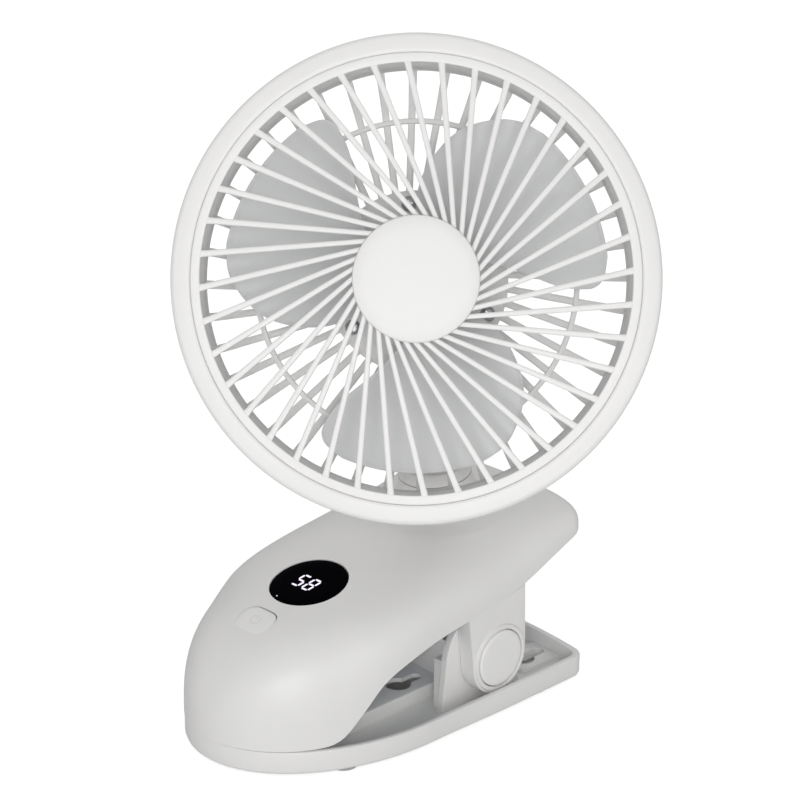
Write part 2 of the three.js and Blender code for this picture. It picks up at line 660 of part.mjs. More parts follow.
function legCap(side) {
  const inner = EAR_OUTER_X + GAP + LEG_THICKNESS - CAP_SEAT_DEPTH + GAP;
  const outer = EAR_OUTER_X + GAP + LEG_THICKNESS + CAP_PROUD;
  const profile = [
    [0, inner],
    [CAP_RADIUS, inner],
    [CAP_RADIUS, outer - 0.5],
    [CAP_RADIUS - 0.5, outer],
    [0, outer],
  ];
  const cap = revolved(profile, 32).rotateY(Math.PI / 2).translate(0, PIVOT_Y, PIVOT_Z);
  return side > 0 ? cap : cap.rotateZ(Math.PI).translate(0, 2 * PIVOT_Y, 0);
}

function jawPad(z0, z1) {
  const shape = roundedRect(PAD_HALF_WIDTH * 2, PAD_REAR_Y - PAD_FRONT_Y, 3);
  return extruded(shape, z1 - z0, 2).translate(0, (PAD_REAR_Y + PAD_FRONT_Y) / 2, z0);
}

// ---------------------------------------------------------------- clamp spring
// One wire: a straight leg up from the tray floor, the coils round the pin, and a straight leg
// to the underside of the upper jaw; both legs point to the tail, so the coil holds the jaw shut
function springPath() {
  const low = rad(SPRING_LOWER_ANGLE);
  const high = rad(SPRING_UPPER_ANGLE);
  const start = Math.PI * 1.5 - low;
  const end = Math.PI * 0.5 + high - SPRING_TURNS * 2 * Math.PI;
  const width = ((start - end) / (2 * Math.PI)) * SPRING_PITCH;
  const coilPoint = (angle) => new Vec(
    (width * (start - angle)) / (start - end) - width / 2,
    PIVOT_Y + SPRING_RADIUS * Math.cos(angle),
    PIVOT_Z + SPRING_RADIUS * Math.sin(angle),
  );
  const clear = SPRING_WIRE_RADIUS + GAP;
  const first = coilPoint(start);
  const lowerLeg = (first.z - TRAY_FLOOR - clear) / Math.sin(low);
  const points = [first.clone().add(new Vec(0, lowerLeg * Math.cos(low), -lowerLeg * Math.sin(low)))];
  const steps = Math.round(((start - end) / (2 * Math.PI)) * 8);
  for (let i = 0; i <= steps; i += 1) points.push(coilPoint(lerp(start, end, i / steps)));
  const last = points.at(-1);
  let upperLeg = SPRING_RADIUS;
  for (let i = 0; i < 12; i += 1) {
    const roof = shellEdge(last.y + upperLeg * Math.cos(high)) - SPRING_WIRE_RADIUS;
    upperLeg = (roof - last.z) / Math.sin(high);
  }
  points.push(last.clone().add(new Vec(0, upperLeg * Math.cos(high), upperLeg * Math.sin(high))));
  return points;
}

function clampSpring() {
  const sides = 6;
  const points = springPath();
  const rings = points.map((centre, i) => {
    const before = points[Math.max(i - 1, 0)];
    const after = points[Math.min(i + 1, points.length - 1)];
    const tangent = after.clone().sub(before).normalize();
    const across = new Vec(1, 0, 0).addScaledVector(tangent, -tangent.x).normalize();
    const other = new Vec().crossVectors(tangent, across);
    return Array.from({ length: sides }, (_, k) => {
      const angle = (2 * Math.PI * k) / sides;
      return centre.clone()
        .addScaledVector(across, SPRING_WIRE_RADIUS * Math.cos(angle))
        .addScaledVector(other, SPRING_WIRE_RADIUS * Math.sin(angle));
    });
  });
  return loft(rings);
}

// Least gap between turns of the spring, from points at least half a turn apart
function springGap() {
  const points = springPath().slice(1, -1);
  let least = Infinity;
  points.forEach((point, i) => {
    for (const other of points.slice(i + 4)) least = Math.min(least, point.distanceTo(other));
  });
  return least - 2 * SPRING_WIRE_RADIUS;
}

// ---------------------------------------------------------------- inside the clamp shell
function displayWindow() {
  const dome = solid(outerDome(0.15));
  const disc = onRidge(rod(DISPLAY_RADIUS, -DISPLAY_THICKNESS, 6, 28), DISPLAY_Y, TOP_SLOPE, 0);
  return solid(disc).intersect(dome);
}

function displayModule() {
  const height = BOARD_DEPTH - DISPLAY_THICKNESS - 2 * GAP;
  const block = box(MODULE_WIDTH, MODULE_LENGTH, height, 0, 0, -DISPLAY_THICKNESS - GAP - height / 2);
  return onRidge(block, DISPLAY_Y, TOP_SLOPE, 0);
}

function onBoard(geometry, ahead) {
  const slope = rad(TOP_SLOPE);
  const centre = new Vec(0, DISPLAY_Y, shellRidge(DISPLAY_Y));
  geometry.translate(0, -ahead, -BOARD_DEPTH).rotateX(slope);
  return geometry.translate(centre.x, centre.y, centre.z);
}

function circuitBoard() {
  const shape = roundedRect(BOARD_WIDTH, BOARD_LENGTH, 4);
  const board = extruded(shape, BOARD_THICKNESS, 2).translate(0, 0, -BOARD_THICKNESS);
  return onBoard(board, BOARD_AHEAD);
}

function buttonSwitch() {
  const ahead = (DISPLAY_Y - BUTTON_Y) / Math.cos(rad(TOP_SLOPE));
  const body = box(SWITCH_SIZE, SWITCH_SIZE, SWITCH_HEIGHT, 0, 0, GAP + SWITCH_HEIGHT / 2);
  return onBoard(body, ahead);
}

function powerButton() {
  const dome = solid(outerDome(0));
  return buttonPrism(0, -BUTTON_HEIGHT, 6).intersect(dome);
}

function batteryPack() {
  const shape = roundedRect(BATTERY_WIDTH, BATTERY_LENGTH, 3);
  const pack = extruded(shape, BATTERY_HEIGHT, 2);
  const ends = [BATTERY_Y - BATTERY_LENGTH / 2, BATTERY_Y + BATTERY_LENGTH / 2];
  const slope = Math.atan2(shellEdge(ends[1]) - shellEdge(ends[0]), BATTERY_LENGTH);
  const arch = 0.2; // rise of the plate below the middle of the pack
  const seat = shellEdge(BATTERY_Y) + COVER_THICKNESS + 2 * GAP + arch;
  return pack.rotateX(slope).translate(0, BATTERY_Y, seat);
}

function chargePort() {
  const y1 = SHELL_TAIL_Y - PORT_RECESS;
  const body = solid(portOpening(0, y1 - PORT_DEPTH, y1));
  return body.subtract(solid(portOpening(-PORT_WALL, y1 - PORT_DEPTH + 1, y1 + 1)));
}

// ---------------------------------------------------------------- neck, in its own frame
function neckArm() {
  const base = revolved(
    [
      [0, COLLAR_TOP + GAP],
      [COLLAR_RADIUS, COLLAR_TOP + GAP],
      [COLLAR_RADIUS, COLLAR_TOP + 2.4],
      [COLLAR_RADIUS - 0.6, COLLAR_TOP + 5],
      [0, COLLAR_TOP + 5],
    ],
    28,
  );
  const low = COLLAR_TOP + 3;
  const high = HINGE_HEIGHT - KNUCKLE_RADIUS - 1.2;
  const rings = [];
  const steps = 4;
  const corners = 16;
  for (let i = 0; i <= steps; i += 1) {
    const t = i / steps;
    const shrink = t > 0.75 ? 1 - 1.6 * (t - 0.75) ** 2 : 1;
    const ring = [];
    for (let k = 0; k < corners; k += 1) {
      const angle = (2 * Math.PI * (k + 0.5)) / corners;
      const c = Math.sign(Math.cos(angle)) * Math.abs(Math.cos(angle)) ** 0.6;
      const s = Math.sign(Math.sin(angle)) * Math.abs(Math.sin(angle)) ** 0.6;
      ring.push(new Vec((ARM_WIDTH / 2) * c * shrink, (ARM_DEPTH / 2) * s * shrink, lerp(low, high, t)));
    }
    rings.push(ring);
  }
  const knuckle = crossRod(KNUCKLE_RADIUS, -KNUCKLE_HALF_WIDTH, KNUCKLE_HALF_WIDTH, 0, HINGE_HEIGHT, 24);
  const web = box(
    KNUCKLE_HALF_WIDTH * 2, KNUCKLE_RADIUS * 1.8, HINGE_HEIGHT - high + 1,
    0, 0, (HINGE_HEIGHT + high - 1) / 2,
  );
  const spigot = rod(SPIGOT_RADIUS, COLLAR_TOP - WALL - RETAINER_THICKNESS - 3 * GAP, COLLAR_TOP + 3, 24);
  const bore = crossRod(TILT_PIN_RADIUS + GAP, -ARM_WIDTH, ARM_WIDTH, 0, HINGE_HEIGHT, 16);
  const wireWay = rod(3, COLLAR_TOP - 12, COLLAR_TOP + 2, 12);
  return joined([base, loft(rings), knuckle, web, spigot].map(solid))
    .subtract(solid(bore))
    .subtract(solid(wireWay));
}

// Washer that keeps the neck in the collar
function swivelRetainer() {
  const top = COLLAR_TOP - WALL - GAP;
  const inner = SPIGOT_RADIUS + GAP;
  const low = top - RETAINER_THICKNESS;
  return revolved(
    [[inner, low], [RETAINER_RADIUS, low], [RETAINER_RADIUS, top], [inner, top], [inner, low]],
    24,
  );
}

// ---------------------------------------------------------------- head, z forward, y up
function headHousing() {
  const outer = HEAD_RADIUS;
  const lip = 2.2; // rounding of the front edge
  const inside = GRILLE_OPENING + 0.2;
  const floor = -GRILLE_RIM_DEPTH - GAP;
  const profile = [
    [outer - HEAD_TAPER - WALL, -HEAD_DEPTH],
    [outer - HEAD_TAPER, -HEAD_DEPTH],
    [outer - 0.25, -6],
    [outer, -lip * 1.4],
  ];
  for (let i = 1; i <= 2; i += 1) {
    const angle = (i * Math.PI) / 4;
    profile.push([outer - lip + lip * Math.cos(angle), -lip * 1.4 * (1 - Math.sin(angle))]);
  }
  profile.push(
    [SEAM_RADIUS + GAP, 0],
    [SEAM_RADIUS + GAP, floor],
    [inside, floor],
    [inside, -HEAD_DEPTH + GAP],
    [inside + SHROUD_WALL, -HEAD_DEPTH + GAP],
    [inside + SHROUD_WALL, floor - WALL],
    [outer - WALL - 0.4, floor - WALL],
    [outer - HEAD_TAPER - WALL, -HEAD_DEPTH],
  );
  return revolved(profile, 56);
}

// One straight spoke along +X, passing the centre at the tangent radius
function frontSpoke() {
  const reach = (radius) => Math.sqrt(radius ** 2 - SPOKE_TANGENT_RADIUS ** 2);
  const stations = [
    [reach(HUB_RADIUS - 3.5), SPOKE_INNER_WIDTH, HUB_PROUD - 2.2],
    [reach(GRILLE_OPENING * 0.62), lerp(SPOKE_INNER_WIDTH, SPOKE_OUTER_WIDTH, 0.5), 1.4],
    [reach(GRILLE_OPENING + 1.4), SPOKE_OUTER_WIDTH, -0.15],
  ];
  const rings = stations.map(([x, width, front]) => {
    const y = -SPOKE_TANGENT_RADIUS;
    return [
      new Vec(x, y - width / 2, front - SPOKE_DEPTH),
      new Vec(x, y + width / 2, front - SPOKE_DEPTH),
      new Vec(x, y + width / 2, front),
      new Vec(x, y - width / 2, front),
    ];
  });
  return loft(rings);
}

function frontGrille() {
  const rim = revolved(
    [
      [GRILLE_OPENING, -GRILLE_RIM_DEPTH],
      [SEAM_RADIUS, -GRILLE_RIM_DEPTH],
      [SEAM_RADIUS, 0],
      [GRILLE_OPENING, 0],
      [GRILLE_OPENING, -GRILLE_RIM_DEPTH],
    ],
    56,
  );
  const plateTop = HUB_PROUD - 2.2;
  const plate = rod(HUB_RADIUS - 1.2, plateTop - SPOKE_DEPTH, plateTop, 32);
  const pieces = [solid(rim), solid(plate)];
  for (let i = 0; i < SPOKE_COUNT; i += 1) {
    const turn = rad(SPOKE_PHASE + (360 * i) / SPOKE_COUNT);
    pieces.push(solid(frontSpoke().rotateZ(turn)));
  }
  return joined(pieces);
}

function hubCap() {
  const back = HUB_PROUD - 2.2 + GAP;
  return revolved(
    [
      [0, back],
      [HUB_RADIUS - 0.5, back],
      [HUB_RADIUS, back + 0.5],
      [HUB_RADIUS - 0.7, HUB_PROUD - 0.7],
      [HUB_RADIUS * 0.6, HUB_PROUD - 0.15],
      [0, HUB_PROUD],
    ],
    40,
  );
}

function rearGrille() {
  const rimOuter = HEAD_RADIUS - HEAD_TAPER - 0.3;
  const rimBack = -HEAD_DEPTH - GAP;
  const rim = revolved(
    [
      [GRILLE_OPENING - 1, rimBack - 3],
      [rimOuter - 2, rimBack - 3],
      [rimOuter, rimBack],
      [GRILLE_OPENING - 1, rimBack],
      [GRILLE_OPENING - 1, rimBack - 3],
    ],
    40,
  );
  const plate = rod(REAR_PLATE_RADIUS, REAR_PLATE_Z - REAR_PLATE_THICKNESS, REAR_PLATE_Z, 40);
  const ringHalf = 0.9;
  const ring = revolved(
    [
      [REAR_RING_RADIUS - ringHalf, REAR_RING_Z - REAR_SPOKE_DEPTH],
      [REAR_RING_RADIUS + ringHalf, REAR_RING_Z - REAR_SPOKE_DEPTH],
      [REAR_RING_RADIUS + ringHalf, REAR_RING_Z + 0.2],
      [REAR_RING_RADIUS - ringHalf, REAR_RING_Z + 0.2],
      [REAR_RING_RADIUS - ringHalf, REAR_RING_Z - REAR_SPOKE_DEPTH],
    ],
    40,
  );
  const stations = [
    [REAR_PLATE_RADIUS - 1.5, REAR_PLATE_Z, 2],
    [REAR_RING_RADIUS, REAR_RING_Z, 0.8],
    [GRILLE_OPENING, rimBack - 0.6, 0],
  ];
  const spoke = loft(
    stations.map(([x, front, y]) => [
      new Vec(x, y - REAR_SPOKE_WIDTH / 2, front - REAR_SPOKE_DEPTH),
      new Vec(x, y + REAR_SPOKE_WIDTH / 2, front - REAR_SPOKE_DEPTH),
      new Vec(x, y + REAR_SPOKE_WIDTH / 2, front),
      new Vec(x, y - REAR_SPOKE_WIDTH / 2, front),
    ]),
  );
  const pieces = [solid(rim), solid(plate), solid(ring)];
  for (let i = 0; i < REAR_SPOKE_COUNT; i += 1) {
    pieces.push(solid(spoke.clone().rotateZ(rad((360 * (i + 0.5)) / REAR_SPOKE_COUNT))));
  }
  let grille = joined(pieces);
  const motorWay = rod(MOTOR_RADIUS + GAP, REAR_PLATE_Z - 5, REAR_PLATE_Z + 3, 24);
  grille = grille.subtract(solid(motorWay));
  for (const [x, y] of screwPlaces()) {
    const hole = rod(MOTOR_SCREW_SHANK + GAP, REAR_PLATE_Z - 5, REAR_PLATE_Z + 3, 12).translate(x, y, 0);
    const seat = rod(MOTOR_SCREW_RADIUS + GAP, REAR_PLATE_Z - MOTOR_SCREW_SEAT, REAR_PLATE_Z + 3, 12);
    grille = grille.subtract(solid(hole)).subtract(solid(seat.translate(x, y, 0)));
  }
  return grille;
}

function screwPlaces() {
  return [90, 210, 330].map((angle) => [
    MOTOR_SCREW_CIRCLE * Math.cos(rad(angle)),
    MOTOR_SCREW_CIRCLE * Math.sin(rad(angle)),
  ]);
}

function motorScrew(x, y) {
  const under = REAR_PLATE_Z - MOTOR_SCREW_SEAT + GAP;
  const head = revolved(
    [
      [0, under - 6],
      [MOTOR_SCREW_SHANK, under - 6],
      [MOTOR_SCREW_SHANK, under],
      [MOTOR_SCREW_RADIUS, under],
      [MOTOR_SCREW_RADIUS, under + 0.8],
      [MOTOR_SCREW_RADIUS - 0.7, under + 1.5],
      [0, under + 1.5],
    ],
    12,
  );
  return head.translate(x, y, 0);
}

// Cup behind the rear plate with the two lugs of the tilt hinge
function rearCover() {
  const front = REAR_PLATE_Z - REAR_PLATE_THICKNESS - GAP;
  const cup = revolved(
    [
      [MOTOR_RADIUS + GAP, COVER_REAR_Z + WALL],
      [MOTOR_RADIUS + GAP, COVER_REAR_Z + WALL - 0.5],
      [0, COVER_REAR_Z + WALL - 0.5],
      [0, COVER_REAR_Z],
      [COVER_RADIUS - 7, COVER_REAR_Z],
      [COVER_RADIUS - 2, COVER_REAR_Z + 2.2],
      [COVER_RADIUS, COVER_REAR_Z + 6],
      [COVER_RADIUS, front],
      [COVER_RADIUS - WALL, front],
      [COVER_RADIUS - WALL, COVER_REAR_Z + WALL + 4],
      [COVER_RADIUS - WALL - 3, COVER_REAR_Z + WALL],
      [MOTOR_RADIUS + GAP, COVER_REAR_Z + WALL],
    ],
    28,
  );
  const lugs = [-1, 1].map((side) => {
    const shape = new THREE.Shape();
    shape.absarc(-HEAD_AHEAD, -HEAD_RISE, KNUCKLE_RADIUS, Math.PI, Math.PI * 2, false);
    shape.lineTo(-HEAD_AHEAD + KNUCKLE_RADIUS + 3, -COVER_RADIUS + 5);
    shape.lineTo(-HEAD_AHEAD - 1.6, -COVER_RADIUS + 8);
    shape.lineTo(-HEAD_AHEAD - KNUCKLE_RADIUS, -HEAD_RISE + 1);
    const inner = KNUCKLE_HALF_WIDTH + GAP;
    const x0 = side > 0 ? inner : -inner - LUG_THICKNESS;
    const turn = new THREE.Matrix4().makeBasis(new Vec(0, 0, 1), new Vec(0, 1, 0), new Vec(-1, 0, 0));
    return solid(extruded(shape, LUG_THICKNESS, 8).applyMatrix4(turn).translate(x0 + LUG_THICKNESS, 0, 0));
  });
  const bore = crossRod(TILT_PIN_RADIUS + GAP, -20, 20, -HEAD_RISE, -HEAD_AHEAD, 16);
  let cover = solid(cup).add(lugs[0]).add(lugs[1]).subtract(solid(bore));
  const swing = crossRod(KNUCKLE_RADIUS + 0.8, -KNUCKLE_HALF_WIDTH - GAP, KNUCKLE_HALF_WIDTH + GAP,
    -HEAD_RISE, -HEAD_AHEAD, 24);
  cover = cover.subtract(solid(swing));
  for (const [x, y] of screwPlaces()) {
    const post = rod(3.2, COVER_REAR_Z + WALL / 2, front, 12).translate(x, y, 0);
    const pilot = rod(MOTOR_SCREW_SHANK + GAP, front - 7, front + 1, 12).translate(x, y, 0);
    cover = cover.add(solid(post)).subtract(solid(pilot));
  }
  return cover;
}

function motorCan() {
  const can = rod(MOTOR_RADIUS, MOTOR_REAR_Z, MOTOR_FRONT_Z, 24);
  const bore = rod(SHAFT_RADIUS + GAP, MOTOR_REAR_Z + SHAFT_COVER, MOTOR_FRONT_Z + 1, 20);
  return solid(can).subtract(solid(bore));
}

// Blade edges as angles over the radius: a nearly radial edge and a swept one
const bladeLowEdge = through([[16, 24], [30, 10], [44, 0.5], [56, -1], [61, 2], [63, 9]]);
const bladeHighEdge = through([[16, 92], [30, 88], [43, 79], [51, 72], [58, 63], [61.5, 57], [63, 50]]);

function blade() {
  const drawnTip = 63; // the edge curves are drawn to this radius and grow with the blade
  const stations = [26, 35, 44, 52, 58, 61.5, drawnTip].map((r) => (r * BLADE_TIP_RADIUS) / drawnTip);
  const radii = [IMPELLER_HUB_RADIUS - 2.5, ...stations];
  const across = 7;
  const rings = radii.map((radius) => {
    const key = (radius * drawnTip) / BLADE_TIP_RADIUS;
    const front = [];
    const back = [];
    for (let k = 0; k < across; k += 1) {
      const t = k / (across - 1);
      const angle = rad(lerp(bladeLowEdge(key), bladeHighEdge(key), t) + BLADE_PHASE);
      const sweep = (lerp(bladeLowEdge(key), bladeHighEdge(key), t) + 1) / 89;
      const z = lerp(BLADE_REAR_Z, BLADE_FRONT_Z, sweep) - BLADE_CAMBER * Math.sin(Math.PI * sweep);
      const thick = (BLADE_THICKNESS / 2) * (0.55 + 0.45 * Math.sin(Math.PI * t));
      front.push(new Vec(radius * Math.cos(angle), radius * Math.sin(angle), z + thick));
      back.unshift(new Vec(radius * Math.cos(angle), radius * Math.sin(angle), z - thick));
    }
    return [...back.reverse(), ...front.reverse()];
  });
  return loft(rings);
}

function impeller() {
  const hub = revolved(
    [
      [0, IMPELLER_HUB_REAR_Z],
      [IMPELLER_HUB_RADIUS, IMPELLER_HUB_REAR_Z],
      [IMPELLER_HUB_RADIUS, IMPELLER_HUB_FRONT_Z - 3],
      [IMPELLER_HUB_RADIUS - 1, IMPELLER_HUB_FRONT_Z - 1],
      [IMPELLER_HUB_RADIUS - 4, IMPELLER_HUB_FRONT_Z],
      [0, IMPELLER_HUB_FRONT_Z],
    ],
    36,
  );
  const pieces = [solid(hub)];
  for (let i = 0; i < BLADE_COUNT; i += 1) {
    pieces.push(solid(blade().rotateZ((i * 2 * Math.PI) / BLADE_COUNT)));
  }
  const bore = rod(SHAFT_RADIUS + GAP, IMPELLER_HUB_REAR_Z - 1, IMPELLER_HUB_FRONT_Z - SHAFT_COVER, 20);
  return joined(pieces).subtract(solid(bore));
}

// ---------------------------------------------------------------- assembly
const fan = new THREE.Group();

// Fixed base
fan.add(part("base_tray", baseTray(), WHITE));
for (const [name, x, y] of footPlaces) {
  const mesh = part(name, foot(), RUBBER);
  mesh.position.set(x, y, 0);
  fan.add(mesh);
}
const pinEnd = EAR_OUTER_X + GAP + LEG_THICKNESS - CAP_SEAT_DEPTH - GAP;
const pivotPin = crossRod(PIVOT_PIN_RADIUS, -pinEnd, pinEnd, PIVOT_Y, PIVOT_Z, 16);
fan.add(part("pivot_pin", pivotPin, STEEL));
const lowerPadTop = TRAY_FLOOR + LOWER_PAD_THICKNESS;
fan.add(part("jaw_pad_lower", jawPad(TRAY_FLOOR + GAP, lowerPadTop), RUBBER));
fan.add(part("clamp_spring", clampSpring(), STEEL));

// Upper jaw
fan.add(part("upper_shell", upperShell(), WHITE));
fan.add(part("underside_cover", undersideCover(), WHITE));
fan.add(part("leg_cap_right", legCap(1), WHITE_GLOSS));
fan.add(part("leg_cap_left", legCap(-1), WHITE_GLOSS));
fan.add(part("jaw_pad_upper", jawPad(lowerPadTop + GAP, SHELL_EDGE_Z), RUBBER));
fan.add(part("display_window", displayWindow(), BLACK_GLASS));
fan.add(part("display_module", displayModule(), DARK_PLASTIC));
fan.add(part("circuit_board", circuitBoard(), BOARD_GREEN));
fan.add(part("button_switch", buttonSwitch(), DARK_PLASTIC));
fan.add(part("battery_pack", batteryPack(), BATTERY_BLUE));
fan.add(part("charge_port", chargePort(), STEEL));
fan.add(part("power_button", powerButton(), WHITE_GLOSS));

// Neck on its leaning swivel axis
const neck = new THREE.Group();
neck.position.set(0, NECK_Y, NECK_Z);
neck.rotation.x = rad(NECK_LEAN);
fan.add(neck);
const swivel = new THREE.Group();
swivel.rotation.z = rad(NECK_YAW);
neck.add(swivel);
swivel.add(part("neck_arm", neckArm(), WHITE));
swivel.add(part("swivel_retainer", swivelRetainer(), DARK_PLASTIC));
const tiltPinEnd = KNUCKLE_HALF_WIDTH + GAP + LUG_THICKNESS;
swivel.add(part("tilt_pin", crossRod(TILT_PIN_RADIUS, -tiltPinEnd, tiltPinEnd, 0, HINGE_HEIGHT, 20), STEEL));

// Head on the tilt hinge
const tilt = new THREE.Group();
tilt.position.z = HINGE_HEIGHT;
tilt.rotation.x = rad(-HEAD_PITCH);
swivel.add(tilt);
const head = new THREE.Group();
head.position.set(0, -HEAD_AHEAD, HEAD_RISE);
head.rotation.x = Math.PI / 2;
tilt.add(head);
head.add(part("head_housing", headHousing(), WHITE));
head.add(part("front_grille", frontGrille(), WHITE_GLOSS));
head.add(part("hub_cap", hubCap(), WHITE_GLOSS));
head.add(part("rear_grille", rearGrille(), WHITE));
head.add(part("rear_cover", rearCover(), WHITE));
head.add(part("motor_can", motorCan(), STEEL));
screwPlaces().forEach(([x, y], i) => {
  head.add(part("motor_screw_" + (i + 1), motorScrew(x, y), STEEL));
});
head.add(part("impeller", impeller(), BLADE_WHITE));
const shaftRear = MOTOR_REAR_Z + SHAFT_COVER + GAP;
const shaft = rod(SHAFT_RADIUS, shaftRear, IMPELLER_HUB_FRONT_Z - SHAFT_COVER - GAP, 20);
head.add(part("motor_shaft", shaft, STEEL));

console.log("spring: least gap between turns " + springGap().toFixed(2) + " mm");

export default fan;
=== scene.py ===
"""Rechargeable clip fan: the finished surfaces, laid out as a Blender add-on."""
import json
import math

import bmesh
import bpy
from bpy.props import FloatProperty, FloatVectorProperty, IntProperty, PointerProperty
from mathutils import Matrix, Vector


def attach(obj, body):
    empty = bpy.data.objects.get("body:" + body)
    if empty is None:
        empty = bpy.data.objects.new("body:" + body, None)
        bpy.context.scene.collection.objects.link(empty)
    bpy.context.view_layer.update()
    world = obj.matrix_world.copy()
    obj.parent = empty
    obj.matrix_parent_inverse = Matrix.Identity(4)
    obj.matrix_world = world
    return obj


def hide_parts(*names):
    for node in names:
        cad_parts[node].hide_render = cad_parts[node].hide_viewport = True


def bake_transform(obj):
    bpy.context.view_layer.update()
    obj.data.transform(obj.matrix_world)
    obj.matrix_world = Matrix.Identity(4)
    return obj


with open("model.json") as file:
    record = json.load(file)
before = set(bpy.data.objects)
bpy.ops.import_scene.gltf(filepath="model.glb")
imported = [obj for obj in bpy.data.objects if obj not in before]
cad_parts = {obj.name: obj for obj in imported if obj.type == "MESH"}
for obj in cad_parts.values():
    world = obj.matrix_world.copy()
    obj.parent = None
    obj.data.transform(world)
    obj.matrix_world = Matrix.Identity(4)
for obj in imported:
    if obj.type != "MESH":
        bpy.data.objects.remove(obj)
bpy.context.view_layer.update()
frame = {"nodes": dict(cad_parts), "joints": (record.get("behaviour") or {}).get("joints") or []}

bl_info = {
    "name": "Clip fan",
    "version": (1, 0, 0),
    "blender": (4, 5, 0),
    "location": "3D View > Sidebar > Clip fan",
    "description": "Models the casings, grilles and blades of a clip-on fan and lights them",
    "category": "Add Mesh",
}

MM = 0.001
PI = math.pi
X, Y, Z = Vector((1, 0, 0)), Vector((0, 1, 0)), Vector((0, 0, 1))


# ---------- settings

def length(name, description, default):
    return FloatProperty(
        name=name, description=description, default=default * MM, unit="LENGTH", precision=4
    )


def colour(name, description, default):
    return FloatVectorProperty(
        name=name, description=description, default=default, subtype="COLOR", min=0, max=1
    )


class HeadSizes(bpy.types.PropertyGroup):
    """Sizes of the caged fan head"""
    radius: length("Radius", "Outside of the front ring", 80.0)
    depth: length("Depth", "Front ring to the back of the barrel", 18.0)
    seam: length("Seam", "Radius of the joint between ring and front grille", 73.4)
    opening: length("Opening", "Radius of the opening that the spokes cross", 70.3)
    hub: length("Hub cap", "Radius of the front hub cap", 20.7)
    tangent: length("Spoke offset", "How far the straight spokes pass from the centre", 13.4)
    spokes: IntProperty(name="Spokes", description="Spokes of each grille", default=40, min=12)
    rear_ring: length("Rear ring", "Radius of the ring that ties the rear spokes", 54.0)
    rear_plate: length("Rear plate", "Radius of the motor plate", 31.0)
    blade_tip: length("Blade tip", "Radius of the blades", 64.0)
    blades: IntProperty(name="Blades", description="Number of blades", default=3, min=2)


class JawSizes(bpy.types.PropertyGroup):
    """Sizes of the upper jaw, its legs, the button and the display"""
    width: length("Half width", "Half the width of the shell", 41.3)
    tail_width: length("Tail half width", "Half the width at the tail", 38.6)
    reach: length("Nose reach", "Length of the rounded nose", 59.8)
    wall: length("Wall", "Thickness of the moulded shell", 2.2)
    display: length("Display", "Radius of the display window", 13.5)
    button: length("Button", "Radius of the power button", 7.3)
    boss: length("Leg boss", "Radius of the round end of each leg", 13.0)
    cap: length("Leg cap", "Radius of the cap over the pivot", 10.2)


class TraySizes(bpy.types.PropertyGroup):
    """Sizes of the base tray and its feet"""
    width: length("Half width", "Half the width of the tray", 44.6)
    reach: length("Nose reach", "Length of the rounded nose", 63.0)
    rim: length("Rim height", "Height of the rim", 8.3)
    wall: length("Rim wall", "Thickness of the rim", 2.2)
    foot: length("Foot", "Radius of a rubber foot", 5.0)


class Finish(bpy.types.PropertyGroup):
    """Colours of the materials"""
    casing: colour("Casing", "White satin plastic", (0.83, 0.825, 0.815))
    # The rear grille also takes this white, which paints some light onto its shaded spokes
    grille: colour("Grille", "White plastic of the grille and ring", (0.88, 0.875, 0.865))
    blade: colour("Blades", "Milky plastic", (0.70, 0.705, 0.71))
    window: colour("Display", "Smoked window", (0.0012, 0.0012, 0.002))
    digits: colour("Digits", "Lit segments", (0.86, 0.80, 1.0))
    rubber: colour("Rubber", "Feet and jaw pads", (0.45, 0.45, 0.44))
    steel: colour("Steel", "Pins, spring and screws", (0.56, 0.56, 0.58))


class Millimetres:
    """The lengths of one group of settings in millimetres, its counts as they are"""

    def __init__(self, group):
        settings = getattr(bpy.context.scene, "clip_fan_" + group)
        for key in settings.__annotations__:
            value = getattr(settings, key)
            setattr(self, key, value / MM if isinstance(value, float) else value)


# ---------- frames of the moving parts

def joint(name):
    """Place and axis of one joint"""
    found = next(j for j in frame["joints"] if j["name"] == name)
    return Vector(found["pos_m"]), Vector(found["axis"]).normalized()


def axes_frame(x, y, z, origin):
    rows = [(x[i], y[i], z[i], origin[i]) for i in range(3)]
    return Matrix(rows + [(0, 0, 0, 1)])


def square_frame(x, z, origin):
    return axes_frame(x, z.cross(x), z, origin)


def at(x, y, z=0.0):
    """A shift in millimetres"""
    return Matrix.Translation((x * MM, y * MM, z * MM))


PIVOT, _ = joint("clamp_open")
SWIVEL_SEAT, SWIVEL_AXIS = joint("head_swivel")
_, TILT_AXIS = joint("head_tilt")
FAN_CENTRE, FAN_AXIS = joint("fan_spin")
PIVOT_YZ = (PIVOT.y / MM, PIVOT.z / MM)

# The head looks along its fan axis; its sideways axis is the tilt hinge's, turned to the right
HEAD = square_frame(-TILT_AXIS, FAN_AXIS, FAN_CENTRE)
NECK = square_frame(-TILT_AXIS, SWIVEL_AXIS, SWIVEL_SEAT)
COLLAR = square_frame(X, SWIVEL_AXIS, SWIVEL_SEAT)
PIVOT_ROD = square_frame(Y, X, PIVOT)
# Outlines drawn in (y, z) rise along X
SIDEWAYS = square_frame(Y, X, (0, 0, 0))
QUARTER_TURN = Matrix.Rotation(PI / 2, 4, "Y")


# ---------- outlines, in millimetres

def lerp(a, b, t):
    return a + (b - a) * t


def smoothstep(t):
    t = min(1.0, max(0.0, t))
    return t * t * (3 - 2 * t)


